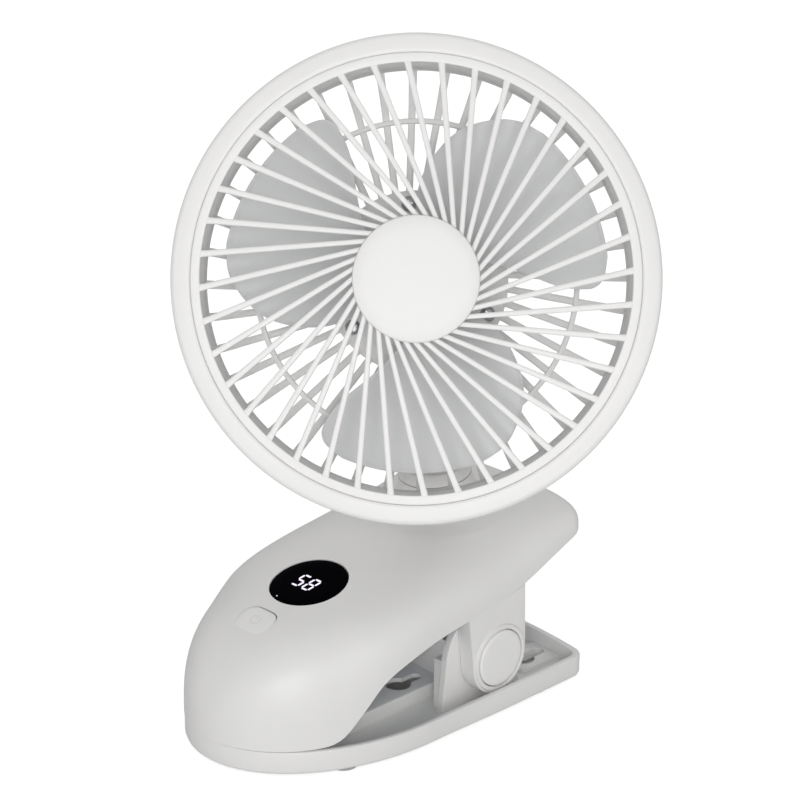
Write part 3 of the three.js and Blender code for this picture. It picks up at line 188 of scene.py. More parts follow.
def through(pairs):
    """Smooth curve through (u, v) pairs, as a function of u"""
    last = len(pairs) - 1
    slope = []
    for i in range(len(pairs)):
        before, after = pairs[max(i - 1, 0)], pairs[min(i + 1, last)]
        slope.append((after[1] - before[1]) / (after[0] - before[0]))

    def curve(u):
        i = 0
        while i < last - 1 and u > pairs[i + 1][0]:
            i += 1
        span = pairs[i + 1][0] - pairs[i][0]
        t = min(1.0, max(0.0, (u - pairs[i][0]) / span))
        bend = t * (1 - t) * ((1 - t) * slope[i] - t * slope[i + 1]) * span
        return lerp(pairs[i][1], pairs[i + 1][1], t * t * (3 - 2 * t)) + bend

    return curve


def arc(centre, radius, start, end, steps):
    """Points on an arc, both ends included"""
    points = []
    for i in range(steps + 1):
        a = lerp(start, end, i / steps)
        points.append((centre[0] + radius * math.cos(a), centre[1] + radius * math.sin(a)))
    return points


def circle(radius, count=48, centre=(0, 0)):
    return arc(centre, radius, 0, 2 * PI, count)[:-1]


def rounded_rect(width, depth, radius, steps=6, centre=(0, 0)):
    points = []
    for sx, sy, turn in ((1, -1, -1), (1, 1, 0), (-1, 1, 1), (-1, -1, 2)):
        corner = (
            centre[0] + sx * (width / 2 - radius),
            centre[1] + sy * (depth / 2 - radius),
        )
        points += arc(corner, radius, turn * PI / 2, (turn + 1) * PI / 2, steps)
    return points


def rounded(profile, radius, steps=4):
    """The closed profile with each corner off the axis replaced by a small arc"""
    out = []
    count = len(profile)
    for i, point in enumerate(profile):
        p = Vector(point)
        back, ahead = Vector(profile[i - 1]) - p, Vector(profile[(i + 1) % count]) - p
        if p.x < 1e-6 or min(back.length, ahead.length) < 1e-6:
            out.append(tuple(p))
            continue
        cut_back = min(radius, back.length * 0.45, ahead.length * 0.45)
        a, b = p + back.normalized() * cut_back, p + ahead.normalized() * cut_back
        for k in range(steps + 1):
            t = k / steps
            out.append(tuple(a * (1 - t) ** 2 + p * (2 * t * (1 - t)) + b * t ** 2))
    return out


def band(inner, outer, low, high, ease):
    """Profile of a plain band or disc with eased corners"""
    return rounded([(inner, low), (outer, low), (outer, high), (inner, high)], ease)


# ---------- mesh tools, in millimetres

def made(points, faces):
    """A mesh object from millimetre points"""
    mesh = bpy.data.meshes.new("part")
    mesh.from_pydata([Vector(p) * MM for p in points], [], faces)
    mesh.validate()
    obj = bpy.data.objects.new("part", mesh)
    bpy.context.scene.collection.objects.link(obj)
    return obj


def placed(obj, matrix):
    if matrix:
        obj.data.transform(matrix)
        obj.data.update()
    return obj


def edited(obj, change):
    """Run a change on the object's mesh"""
    mesh = bmesh.new()
    mesh.from_mesh(obj.data)
    change(mesh)
    mesh.to_mesh(obj.data)
    mesh.free()
    return obj


def recalc(obj):
    return edited(obj, lambda mesh: bmesh.ops.recalc_face_normals(mesh, faces=mesh.faces))


def mirrored(obj):
    """The same object on the other side of the clamp"""
    return recalc(placed(obj, Matrix.Scale(-1, 4, X)))


def skin(rings, closed=True, caps=True, loop=False):
    """Points and faces of a skin over rings of equal length"""
    count = len(rings[0])
    points = [p for ring in rings for p in ring]
    faces = []
    spans = len(rings) if loop else len(rings) - 1
    steps = count if closed else count - 1
    for i in range(spans):
        k = (i + 1) % len(rings)
        for j in range(steps):
            n = (j + 1) % count
            faces.append((i * count + j, i * count + n, k * count + n, k * count + j))
    if caps and not loop:
        faces.append(tuple(reversed(range(count))))
        faces.append(tuple(range((len(rings) - 1) * count, len(rings) * count)))
    return points, faces


def skinned(rings, **kind):
    """An object with a skin over the rings, its normals outward"""
    return recalc(made(*skin(rings, **kind)))


def prism(outline, low, high, matrix=None):
    """Closed prism over an (x, y) outline"""
    return placed(skinned([[(x, y, z) for x, y in outline] for z in (low, high)]), matrix)


def lathe(profile, segments, matrix=None):
    """Revolved about local Z; the (radius, z) profile runs counter-clockwise"""
    rings = [[(r * c, r * s, z) for r, z in profile] for c, s in circle(1, segments)]
    points, faces = skin(rings, loop=True)
    obj = made(points, [tuple(reversed(f)) for f in faces])

    def weld(mesh):
        bmesh.ops.remove_doubles(mesh, verts=mesh.verts, dist=1e-6)
        bmesh.ops.dissolve_degenerate(mesh, dist=1e-7, edges=mesh.edges)

    return placed(recalc(edited(obj, weld)), matrix)


def applied(obj, kind, **settings):
    """Add one modifier and keep its result as the mesh"""
    modifier = obj.modifiers.new(kind.title(), kind)
    for key, value in settings.items():
        setattr(modifier, key, value)
    bpy.context.view_layer.update()
    graph = bpy.context.evaluated_depsgraph_get()
    mesh = bpy.data.meshes.new_from_object(obj.evaluated_get(graph))
    obj.modifiers.clear()
    old = obj.data
    obj.data = mesh
    bpy.data.meshes.remove(old)
    return obj


def bevelled(obj, width, segments=3, angle=35):
    return applied(
        obj, "BEVEL", width=width * MM, segments=segments, limit_method="ANGLE",
        angle_limit=math.radians(angle), use_clamp_overlap=True,
    )


def combined(obj, others, operation):
    for other in others:
        applied(obj, "BOOLEAN", object=other, operation=operation, solver="EXACT")
        bpy.data.objects.remove(other)
    return obj


def fused(obj, *others):
    return combined(obj, others, "UNION")


def bored(obj, outline, low, high, matrix=None):
    """Cut away a prism over the outline"""
    return combined(obj, [prism(outline, low, high, matrix)], "DIFFERENCE")


def merged(*objects):
    """One object that holds several closed meshes"""
    def gather(mesh):
        for obj in objects:
            mesh.from_mesh(obj.data)
            bpy.data.objects.remove(obj)

    return edited(made([], []), gather)


def finished(obj, name, material, body, slot, *replaces, crease=38):
    """Name, creases, material and body, and hides the parts it replaces; the slot is not used, and
    a piece without a body stays unattached
    """
    limit = math.radians(crease)

    def shade(mesh):
        for face in mesh.faces:
            face.smooth = True
        for edge in mesh.edges:
            edge.smooth = len(edge.link_faces) == 2 and edge.calc_face_angle(0.0) < limit

    edited(obj, shade)
    obj.name = obj.data.name = name
    obj.data.materials.clear()
    obj.data.materials.append(MATERIALS[material])
    if body:
        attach(obj, body)
    if replaces:
        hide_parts(*replaces)
    return obj


# ---------- shaders

def feed(tree, slot, value):
    """Link a value to a socket, or set the socket to a number or colour"""
    if isinstance(value, Value):
        tree.links.new(value.socket, slot)
    elif slot.type == "RGBA":
        slot.default_value = (*value, 1.0)
    else:
        slot.default_value = value


class Value:
    """A shader socket that takes part in arithmetic"""

    def __init__(self, tree, socket):
        self.tree = tree
        self.socket = socket

    def maths(self, operation, other):
        node = self.tree.nodes.new("ShaderNodeMath")
        node.operation = operation
        feed(self.tree, node.inputs[0], self)
        feed(self.tree, node.inputs[1], other)
        return Value(self.tree, node.outputs[0])

    def __add__(self, other):
        return self.maths("ADD", other)

    def __sub__(self, other):
        return self.maths("SUBTRACT", other)

    def __mul__(self, other):
        return self.maths("MULTIPLY", other)


class Tree:
    """A node tree with one way to add a node"""

    def __init__(self, tree):
        self.tree = tree

    def node(self, kind, inputs, settings=None, output=0):
        """The output of a new node; sockets go by name or number"""
        node = self.tree.nodes.new(kind)
        for key, value in (settings or {}).items():
            setattr(node, key, value)
        for key, value in inputs.items():
            feed(self.tree, node.inputs[key], value)
        return Value(self.tree, node.outputs[output])

    def ray(self, kind):
        return self.node("ShaderNodeLightPath", {}, output="Is %s Ray" % kind)

    def where(self):
        return self.node("ShaderNodeTexCoord", {}, output="Object")


class Shader(Tree):
    """A material with one Principled surface"""

    def __init__(self, name):
        self.material = bpy.data.materials.new(name)
        self.material.use_nodes = True
        super().__init__(self.material.node_tree)
        self.surface = self.tree.nodes["Principled BSDF"]

    def set(self, **inputs):
        for key, value in inputs.items():
            feed(self.tree, self.surface.inputs[key.replace("_", " ")], value)

    def noise(self, scale, detail=2.0, roughness=0.5, where=None):
        return self.node("ShaderNodeTexNoise", {
            "Vector": where or self.where(), "Scale": scale, "Detail": detail,
            "Roughness": roughness,
        })

    def blend(self, factor, first, second):
        inputs = {0: factor, 6: first, 7: second}
        return self.node("ShaderNodeMix", inputs, {"data_type": "RGBA"}, 2)

    def bump(self, height, strength, distance):
        inputs = {"Strength": strength, "Distance": distance, "Height": height}
        return self.node("ShaderNodeBump", inputs)


def shaded(tint, share):
    return tuple(min(1.0, c * share) for c in tint)


def moulded(name, tint, roughness, grain=0.10):
    """Injection-moulded plastic: fine spark texture, faint flow clouds and uneven gloss"""
    shader = Shader(name)
    clouds = shader.noise(35.0, detail=3.0)
    fine = shader.noise(2600.0, detail=3.0, roughness=0.65)
    shader.set(
        Base_Color=shader.blend(clouds, tint, shaded(tint, 0.955)),
        Roughness=clouds * 0.08 + fine * 0.05 + (roughness - 0.065),
        Normal=shader.bump(fine, grain, 0.00004),
        IOR=1.5,
    )
    return shader.material


def smoked_window(tint):
    shader = Shader("Smoked window")
    smears = shader.noise(180.0, detail=4.0)
    shader.set(
        Base_Color=tint, Roughness=smears * 0.08 + 0.05, IOR=1.5, Specular_IOR_Level=0.002
    )
    return shader.material


def lit_segments(tint):
    shader = Shader("Lit segments")
    glow = shader.noise(900.0, detail=1.0)
    shader.set(
        Base_Color=(0.05, 0.05, 0.06),
        Emission_Color=shader.blend(glow, tint, shaded(tint, 1.1)),
        Emission_Strength=1.1,
        Roughness=0.4,
    )
    return shader.material


def soft_rubber(tint):
    shader = Shader("Soft rubber")
    fine = shader.noise(1800.0, detail=4.0)
    shader.set(
        Base_Color=shader.blend(fine, tint, shaded(tint, 0.85)),
        Roughness=fine * 0.15 + 0.72,
        Normal=shader.bump(fine, 0.25, 0.00008),
    )
    return shader.material


def drawn_steel(tint):
    shader = Shader("Drawn steel")
    inputs = {"Vector": shader.where(), "Scale": (60.0, 1500.0, 1500.0)}
    streaks = shader.noise(1.0, detail=3.0, where=shader.node("ShaderNodeMapping", inputs))
    shader.set(
        Base_Color=shader.blend(streaks, tint, shaded(tint, 0.8)),
        Metallic=1.0,
        Roughness=streaks * 0.2 + 0.22,
        Normal=shader.bump(streaks, 0.15, 0.00003),
    )
    return shader.material


def printed_board():
    shader = Shader("Printed board")
    settings = {"feature": "DISTANCE_TO_EDGE"}
    traces = shader.node("ShaderNodeTexVoronoi", {"Scale": 420.0}, settings)
    shader.set(
        Base_Color=shader.blend(traces, (0.02, 0.16, 0.07), (0.03, 0.24, 0.12)),
        Roughness=traces * 0.3 + 0.4,
    )
    return shader.material


def cell_wrap():
    shader = Shader("Cell wrap")
    folds = shader.noise(140.0, detail=3.0)
    shader.set(
        Base_Color=shader.blend(folds, (0.06, 0.18, 0.42), (0.09, 0.24, 0.5)),
        Roughness=folds * 0.2 + 0.3,
        Normal=shader.bump(folds, 0.3, 0.0002),
    )
    return shader.material


MATERIALS = {}


def make_materials():
    finish = bpy.context.scene.clip_fan_finish
    MATERIALS.update(
        casing=moulded("Casing plastic", tuple(finish.casing), 0.40, grain=0.14),
        ring=moulded("Ring plastic", tuple(finish.grille), 0.38),
        blade=moulded("Milky blade plastic", tuple(finish.blade), 0.42, grain=0.06),
        window=smoked_window(tuple(finish.window)),
        digits=lit_segments(tuple(finish.digits)),
        rubber=soft_rubber(tuple(finish.rubber)),
        steel=drawn_steel(tuple(finish.steel)),
        board=printed_board(),
        wrap=cell_wrap(),
        inner=moulded("Inner plastic", (0.03, 0.03, 0.035), 0.5),
        mark=moulded("Moulded mark", (0.79, 0.785, 0.775), 0.45),
    )


# ---------- base tray

TRAY_NOSE_HALF_WIDTH = 43.8
TRAY_NOSE_CENTRE_Y = -8.0
TRAY_SIDE_START_Y = 30.0
TRAY_REAR_Y = 71.5
TRAY_REAR_BOW = 4.5
TRAY_CORNER = 5.0
TRAY_FLOOR = 2.0
IN_FLOOR = 1.0  # where pieces fused to the floor start
PLATFORM_WIDTH = 44.0
PLATFORM_Y = (-34.0, 19.0)
PLATFORM_TOP = 7.0
PLATFORM_WALL = 2.0
REAR_PAD = (14, 22, 4)  # width, length and corner
REAR_PAD_TOP = 3.4
EAR_RADIUS = 19.6
EAR_SHOULDER_Z = 21.7
EAR_X = (30.5, 33.7)
POST = (4, 6.4, 0.01, 1)  # width, depth, corner and steps
POST_PLACE = (29.5, 11.2)
POST_TOP = 20.5
PIN_BORE = 2.8
KEYHOLES = ((14.3, 3.6, PLATFORM_TOP), (25.6, 55.0, REAR_PAD_TOP))
KEYHOLE_LENGTH = 8.4
KEYHOLE_HEAD = 4.6
KEYHOLE_SLOT = 4.4
FEET = (
    ("foot_front_right", 32.0, -39.0), ("foot_front_left", -32.0, -39.0),
    ("foot_rear_right", 38.0, 47.0), ("foot_rear_left", -38.0, 47.0),
)


def quad_bezier(a, b, c, steps):
    out = []
    for i in range(1, steps + 1):
        t = i / steps
        out.append(tuple(
            a[k] * (1 - t) ** 2 + b[k] * 2 * t * (1 - t) + c[k] * t * t for k in range(2)
        ))
    return out


def tray_outline(inset):
    sizes = bpy.context.scene.clip_fan_tray
    side = sizes.width / MM - inset
    nose = TRAY_NOSE_HALF_WIDTH - inset
    reach = sizes.reach / MM - inset
    rear = TRAY_REAR_Y - TRAY_REAR_BOW - inset
    corner = TRAY_CORNER - inset / 2
    flank = [
        (lerp(nose, side, smoothstep(i / 8)), lerp(TRAY_NOSE_CENTRE_Y, TRAY_SIDE_START_Y, i / 8))
        for i in range(1, 9)
    ]
    edge = (side, rear - corner)
    bend = (side - corner, rear + 0.2 * corner)
    far = (-bend[0], bend[1])
    points = [(nose * c, TRAY_NOSE_CENTRE_Y + reach * s) for c, s in arc((0, 0), 1, PI, 2 * PI, 96)]
    points += flank + [edge]
    points += quad_bezier(edge, (side, rear), bend, 10)
    points += quad_bezier(bend, (0, 2 * (TRAY_REAR_Y - inset) - bend[1]), far, 24)
    points += quad_bezier(far, (-side, rear), (-side, rear - corner), 10)
    return points + [(-x, y) for x, y in reversed(flank)]


def ear_outline():
    """Upright plate of the tray, in (y, z)"""
    shoulder = math.asin((EAR_SHOULDER_Z - PIVOT_YZ[1]) / EAR_RADIUS)
    points = [(6.0, IN_FLOOR), (45.0, IN_FLOOR)]
    points += arc(PIVOT_YZ, EAR_RADIUS * 0.62, 0.15, PI / 2, 16)
    return points + arc(PIVOT_YZ, EAR_RADIUS, PI * 0.72, PI - shoulder, 12)


class CLIPFAN_OT_tray(bpy.types.Operator):
    """Model the base tray with its rim, platform, ears and keyholes"""
    bl_idname = "clipfan.tray"
    bl_label = "Base tray"

    def execute(self, context):
        sizes = Millimetres("tray")
        rim, wall = sizes.rim, sizes.wall
        section = (
            (1.5, 0.0), (0.8, 0.12), (0.3, 0.5), (0.0, 1.3), (0.0, rim - 0.7), (0.18, rim - 0.2),
            (0.6, rim), (wall - 0.5, rim), (wall - 0.12, rim - 0.2), (wall, rim - 0.6),
            (wall + 0.1, TRAY_FLOOR + 1.2), (wall + 0.45, TRAY_FLOOR + 0.35),
            (wall + 1.2, TRAY_FLOOR),
        )
        tray = skinned([[(x, y, z) for x, y in tray_outline(inset)] for inset, z in section])
        self.platform(tray)
        for side in (-1, 1):
            keyhole_x, keyhole_y, _ = KEYHOLES[1]
            centre = (side * keyhole_x, keyhole_y + KEYHOLE_LENGTH / 2)
            pad = rounded_rect(*REAR_PAD, 6, centre)
            fused(tray, bevelled(prism(pad, IN_FLOOR, REAR_PAD_TOP), 0.4))
            ear = bevelled(prism(ear_outline(), *EAR_X, SIDEWAYS), 0.5)
            place = (side * POST_PLACE[0], POST_PLACE[1])
            post = prism(rounded_rect(*POST, place), IN_FLOOR, POST_TOP)
            fused(tray, mirrored(ear) if side < 0 else ear, bevelled(post, 0.35))
            for x, y, top in KEYHOLES:
                self.keyhole(tray, side * x, y, top)
        bored(tray, circle(PIN_BORE, 32), -36, 36, PIVOT_ROD)
        for _, x, y in FEET:
            bored(tray, circle(sizes.foot + 0.3, 40, (x, y)), -1, 0.8)
        finished(tray, "base_tray_shell", "casing", "base", "white_plastic", "base_tray")
        return {"FINISHED"}

    def platform(self, tray):
        """Raised deck, hollow from below"""
        front, rear = PLATFORM_Y
        centre = (0, (rear + front) / 2)
        deck = rounded_rect(PLATFORM_WIDTH, rear - front, 3, 6, centre)
        fused(tray, bevelled(prism(deck, IN_FLOOR, PLATFORM_TOP), 0.6))
        inside = 2 * PLATFORM_WALL
        hollow = rounded_rect(PLATFORM_WIDTH - inside, rear - front - inside, 2, 4, centre)
        bored(tray, hollow, 0.9, PLATFORM_TOP - 1.6)

    def keyhole(self, tray, x, y, top):
        slot = (KEYHOLE_SLOT, KEYHOLE_LENGTH + KEYHOLE_SLOT, KEYHOLE_SLOT / 2 - 0.01, 8)
        bored(tray, circle(KEYHOLE_HEAD, 40, (x, y)), -1, top + 1)
        bored(tray, rounded_rect(*slot, (x, y + KEYHOLE_LENGTH / 2)), -1, top + 1)


class CLIPFAN_OT_feet(bpy.types.Operator):
    """Model the four rubber feet"""
    bl_idname = "clipfan.feet"
    bl_label = "Rubber feet"

    def execute(self, context):
        radius = Millimetres("tray").foot
        profile = [
            (0, -1), (radius - 1, -1), (radius - 0.3, -0.85), (radius, -0.4), (radius, 0.5),
            (0, 0.5),
        ]
        for name, x, y in FEET:
            foot = lathe(profile, 48, at(x, y))
            finished(foot, name + "_pad", "rubber", "base", "grey_rubber", name)
        return {"FINISHED"}


# ---------- upper jaw shell

NOSE_CENTRE_Y = -12.0
NOSE_ROUND = 34.0
NOSE_POWER = 2.6
TAIL_Y = 72.5
TAIL_CORNER = 7.0
TAIL_TOP_ROUND = 4.0
EDGE_Z = 8.8
DISPLAY_Y = -25.0
BUTTON_Y = -49.0
BUTTON_FLAT = 5.5
BUTTON_EASE = 9
PORT_Z = 59.2
TOP_SLOPE = math.radians(12.9)
BUTTON_SLOPE = math.radians(20)
COLLAR_RADIUS = 13.0
COLLAR_BORE = 8.3
COLLAR_FILLET = 13.5
COLLAR_PATCH = 31.0
COLLAR_RISE = 22.0  # from the foot of the patch to the swivel's seat

shell_edge = through([
    (-72, EDGE_Z), (-52, EDGE_Z), (-43, 10.8), (-35, 19.4), (-28, 27.2), (-19, 32.0),
    (-4, 36.0), (16, 38.8), (38, 42.4), (52, 47.2), (72.5, 54.6),
])
shell_ridge = through([
    (-72, 40.4), (-49, 45.2), (DISPLAY_Y, 50.4), (0, 56.2), (20, 60.6), (38, 63.0),
    (56, 64.4), (72.5, 64.6),
])
shell_power = through([(-72, 2.9), (-25, 3.3), (30, 2.6), (72.5, 3.4)])


def corner_loss(run, radius):
    """How far a round corner has fallen back after a run past its start"""
    return radius - math.sqrt(max(0.0, radius ** 2 - max(0.0, run) ** 2))


def shell_numbers(y, inset=0.0):
    """Half width, lower edge, top and squareness of the shell's section at y"""
    sizes = bpy.context.scene.clip_fan_jaw
    reach = sizes.reach / MM - inset
    tail = TAIL_Y - inset
    ahead = max(0.0, (NOSE_CENTRE_Y - y) / reach)
    back = max(0.0, (y - NOSE_CENTRE_Y) / (TAIL_Y - NOSE_CENTRE_Y))
    taper = lerp(sizes.width / MM, sizes.tail_width / MM, back ** 1.5) - inset
    corner = corner_loss(y - (tail - TAIL_CORNER), TAIL_CORNER)
    half = taper * math.sqrt(max(0.0, 1 - ahead ** 2)) - corner
    rise = min(1.0, (y - (NOSE_CENTRE_Y - reach)) / NOSE_ROUND)
    swell = (1 - (1 - rise) ** NOSE_POWER) ** (1 / NOSE_POWER)
    drop = corner_loss(y - (tail - TAIL_TOP_ROUND), TAIL_TOP_ROUND)
    top = EDGE_Z + (shell_ridge(y) - inset - EDGE_Z) * swell - drop
    return half, shell_edge(y), top, shell_power(y)


def dome_height(x, y):
    half, low, top, power = shell_numbers(y)
    side = min(1.0, abs(x) / half)
    return low + (top - low) * (1 - side ** power) ** (1 / power)


def on_dome(x, rise, start_y, slope, sink):
    """Point under the shell's top, a rise along the slope from start_y"""
    y = start_y + rise * math.cos(slope)
    return x, y, dome_height(x, y) - sink


def on_ridge(y, slope):
    """Frame on the shell's ridge, z square to the slope"""
    return at(0, y, shell_ridge(y)) @ Matrix.Rotation(slope, 4, "X")


def even_section(y, count):
    """Points of the arch at y, evenly spaced along it, from +X over the top to -X"""
    half, low, top, power = shell_numbers(y)
    fine = []
    for k in range(241):
        a = PI / 2 * k / 240
        out, up = math.cos(a) ** (2 / power), math.sin(a) ** (2 / power)
        fine.append((half * out, low + (top - low) * up))
    run = [0.0]
    for p, q in zip(fine, fine[1:]):
        run.append(run[-1] + math.dist(p, q))
    right = []
    k = 0
    for i in range(count + 1):
        goal = run[-1] * i / count
        while k < len(run) - 2 and run[k + 1] < goal:
            k += 1
        t = (goal - run[k]) / max(1e-9, run[k + 1] - run[k])
        x, z = (lerp(a, b, t) for a, b in zip(fine[k], fine[k + 1]))
        right.append((x, y, z))
    return right + [(-x, y, z) for x, _, z in reversed(right[:-1])]


def stations(count, inset=0.0):
    """Places of the sections, from the tail to the nose, closer at both ends"""
    nose = NOSE_CENTRE_Y - bpy.context.scene.clip_fan_jaw.reach / MM + inset + 0.05
    shares = [(1 - math.cos(PI * i / count)) / 2 for i in range(count + 1)]
    return [lerp(TAIL_Y - inset, nose, t) for t in shares]


def button_outline(grow=0.0):
    """A circle with two flats, its four corners eased"""
    radius = Millimetres("jaw").button
    points = []
    for c, s in circle(1, 96):
        flat = abs(s) / BUTTON_FLAT
        reach = (radius ** -BUTTON_EASE + flat ** BUTTON_EASE) ** (-1 / BUTTON_EASE) + grow
        points.append((reach * c, reach * s))
    return points


def port_outline(grow=0.0):
    return rounded_rect(8.9 + 2 * grow, 3.2 + 2 * grow, 1.59 + grow, 8)


def port_frame(y):
    return square_frame(-X, Y, (0, y * MM, PORT_Z * MM))


def collar_patch():
    """The fillet that rises out of the shell, blended into the dome around it"""
    foot = SWIVEL_SEAT / MM - SWIVEL_AXIS * COLLAR_RISE
    across = SWIVEL_AXIS.cross(X)

    def ring(r, height):
        points = []
        for c, s in circle(1, 128):
            base = foot + X * (r * c) + across * (r * s)
            points.append(tuple(base + SWIVEL_AXIS * height(base)))
        return points

    def blended(r, low):
        weight = smoothstep((COLLAR_PATCH - 0.2 - r) / 6.0)

        def height(base):
            h = 8.0
            for _ in range(12):
                p = base + SWIVEL_AXIS * h
                h += (dome_height(p.x, p.y) - p.z) / SWIVEL_AXIS.z
            rise = (h + low + math.sqrt((h - low) ** 2 + 1.2)) / 2
            return lerp(h, rise, weight)

        return ring(r, height)

    lip = [
        (COLLAR_BORE, COLLAR_RISE - 3), (COLLAR_BORE, COLLAR_RISE),
        (COLLAR_RADIUS - 0.5, COLLAR_RISE), (COLLAR_RADIUS - 0.12, COLLAR_RISE - 0.06),
    ]
    rings = [ring(r, lambda base, h=h: h) for r, h in lip]
    centre = (COLLAR_RADIUS + COLLAR_FILLET, COLLAR_RISE)
    fillet = arc(centre, COLLAR_FILLET, PI, 1.5 * PI - 0.05, 24)
    edge = fillet[-1][0]
    for i in range(1, 9):
        r = lerp(edge, COLLAR_PATCH, i / 8)
        fillet.append((r, COLLAR_RISE - COLLAR_FILLET - (r - edge) * 0.5))
    return skinned(rings + [blended(r, low) for r, low in fillet], caps=False)


class CLIPFAN_OT_shell(bpy.types.Operator):
    """Model the one-piece shell of the upper jaw with its holes and the collar of the neck"""
    bl_idname = "clipfan.shell"
    bl_label = "Upper shell"

    def execute(self, context):
        sizes = Millimetres("jaw")
        shell = skinned([even_section(y, 30) for y in stations(110)], closed=False)
        top = max(shell.data.polygons, key=lambda f: f.center.z)
        if top.normal.z < 0:
            shell.data.flip_normals()
        thickness = sizes.wall * MM
        applied(shell, "SOLIDIFY", thickness=thickness, offset=-1.0, use_even_offset=True)
        bored(shell, circle(sizes.display + 0.25, 96), -8, 8, on_ridge(DISPLAY_Y, TOP_SLOPE))
        bored(shell, button_outline(0.1), -9, 8, on_ridge(BUTTON_Y, BUTTON_SLOPE))
        bored(shell, port_outline(0.3), -6, 2, port_frame(TAIL_Y))
        bored(shell, circle(COLLAR_PATCH, 128), 4 - COLLAR_RISE, 12, COLLAR)
        finished(
            merged(shell, collar_patch()), "clamp_shell", "casing", "upper_jaw",
            "white_plastic", "upper_shell", crease=42,
        )
        return {"FINISHED"}


# ---------- underside, legs, caps, pads

LEG_Y = (39.7, 12.0)
LEG_X = (34.0, 40.0)
LEG_ROOT_X = 36.7  # the thinner part that reaches up inside the shell
CAP_SEAT_RADIUS = 10.5
CAP_SEAT_X = 38.4
COVER_GAP = 0.35
COVER_THICKNESS = 2.3
PADS = (("jaw_pad_lower", "base", 2.3, 5.0, 5.0), ("jaw_pad_upper", "upper_jaw", 5.3, 8.8, 5.3))
PAD_GROOVES_Y = (-60, -56.5, -53, -49.5, -46)


def leg_outline(lift):
    points = arc(PIVOT_YZ, Millimetres("jaw").boss, PI, 2 * PI, 48)
    for i in range(13):
        y = lerp(*LEG_Y, i / 12)
        points.append((y, shell_edge(y) + lift))
    return points


class CLIPFAN_OT_underside(bpy.types.Operator):
    """Model the plate under the shell with its two legs"""
    bl_idname = "clipfan.underside"
    bl_label = "Underside and legs"

    def execute(self, context):
        inset = Millimetres("jaw").wall + COVER_GAP
        rings = []
        for y in stations(60, inset):
            half = max(0.2, shell_numbers(y, inset)[0])
            low = shell_edge(y) + COVER_GAP
            high = low + COVER_THICKNESS
            rings.append([(half, y, low), (half, y, high), (-half, y, high), (-half, y, low)])
        plate = skinned(rings)
        for side in (-1, 1):
            leg = self.leg()
            fused(plate, mirrored(leg) if side < 0 else leg)
        finished(
            plate, "jaw_underside", "casing", "upper_jaw", "white_plastic", "underside_cover"
        )
        return {"FINISHED"}

    def leg(self):
        """The right leg, with the seat of its cap and the raised ring round it"""
        inside, outside = LEG_X
        outer = prism(leg_outline(-0.3), inside, outside, SIDEWAYS)
        inner = prism(leg_outline(1.2), inside, LEG_ROOT_X, SIDEWAYS)
        leg = bevelled(fused(outer, inner), 0.45, 3, 50)
        bored(leg, circle(CAP_SEAT_RADIUS, 96), CAP_SEAT_X, outside + 1, PIVOT_ROD)
        bored(leg, circle(PIN_BORE, 32), inside - 1, outside, PIVOT_ROD)
        ring = [
            (10.6, 39.0), (12.3, 39.0), (12.3, 40.2), (12.0, 40.7), (11.6, 40.85),
            (11.0, 40.85), (10.6, 40.6),
        ]
        return fused(leg, lathe(ring, 96, PIVOT_ROD))


class CLIPFAN_OT_caps(bpy.types.Operator):
    """Model the round caps over the ends of the pivot pin"""
    bl_idname = "clipfan.caps"
    bl_label = "Leg caps"

    def execute(self, context):
        radius = Millimetres("jaw").cap
        profile = [
            (0, 38.7), (radius, 38.7), (radius, 40.35), (radius - 0.12, 40.75),
            (radius - 0.45, 41.0), (radius - 1.1, 41.1), (radius - 1.5, 41.12),
            (radius * 0.5, 41.18), (0, 41.2),
        ]
        for side, name in ((1, "leg_cap_right"), (-1, "leg_cap_left")):
            cap = lathe(profile, 128, PIVOT_ROD)
            cap = mirrored(cap) if side < 0 else cap
            finished(cap, name + "_disc", "ring", "upper_jaw", "white_gloss", name)
        return {"FINISHED"}


class CLIPFAN_OT_pads(bpy.types.Operator):
    """Model the ribbed rubber pads that meet at the nose"""
    bl_idname = "clipfan.pads"
    bl_label = "Jaw pads"

    def execute(self, context):
        for name, body, low, high, face in PADS:
            pad = bevelled(prism(rounded_rect(36, 18, 3, 6, (0, -53)), low, high), 0.4)
            for y in PAD_GROOVES_Y:
                bored(pad, rounded_rect(30, 0.9, 0.4, 4, (0, y)), face - 0.6, face + 0.6)
            finished(pad, name + "_rubber", "rubber", body, "grey_rubber", name)
        return {"FINISHED"}


# ---------- display and button

SEGMENTS = {
    "a": ((-1, 2), (1, 2)), "b": ((1, 2), (1, 0)), "c": ((1, 0), (1, -2)),
    "d": ((-1, -2), (1, -2)), "e": ((-1, 0), (-1, -2)), "f": ((-1, 2), (-1, 0)),
    "g": ((-1, 0), (1, 0)),
}
DIGITS = (("acdfg", -2.95), ("abcdefg", 1.95))
DIGIT_HALF_WIDTH = 1.5
DIGIT_HALF_HEIGHT = 3.05
DIGIT_DROP = -0.7
DIGIT_SLANT = 0.10
SEGMENT_WIDTH = 0.74
SEGMENT_GAP = 0.2
DISPLAY_DOT = (-3.5, -11.7)


def segment_bar(first, last, x0):
    """One six-cornered bar of a lit digit"""
    a, b = (
        Vector((x0 + x * DIGIT_HALF_WIDTH, y * DIGIT_HALF_HEIGHT / 2)) for x, y in (first, last)
    )
    along = (b - a).normalized()
    out = Vector((-along.y, along.x)) * (SEGMENT_WIDTH / 2)
    tip = along * (SEGMENT_WIDTH / 2)
    a, b = a + along * SEGMENT_GAP, b - along * SEGMENT_GAP
    points = [a, a + tip - out, b - tip - out, b, b - tip + out, a + tip + out]
    return [(p.x + p.y * DIGIT_SLANT, p.y + DIGIT_DROP) for p in points]


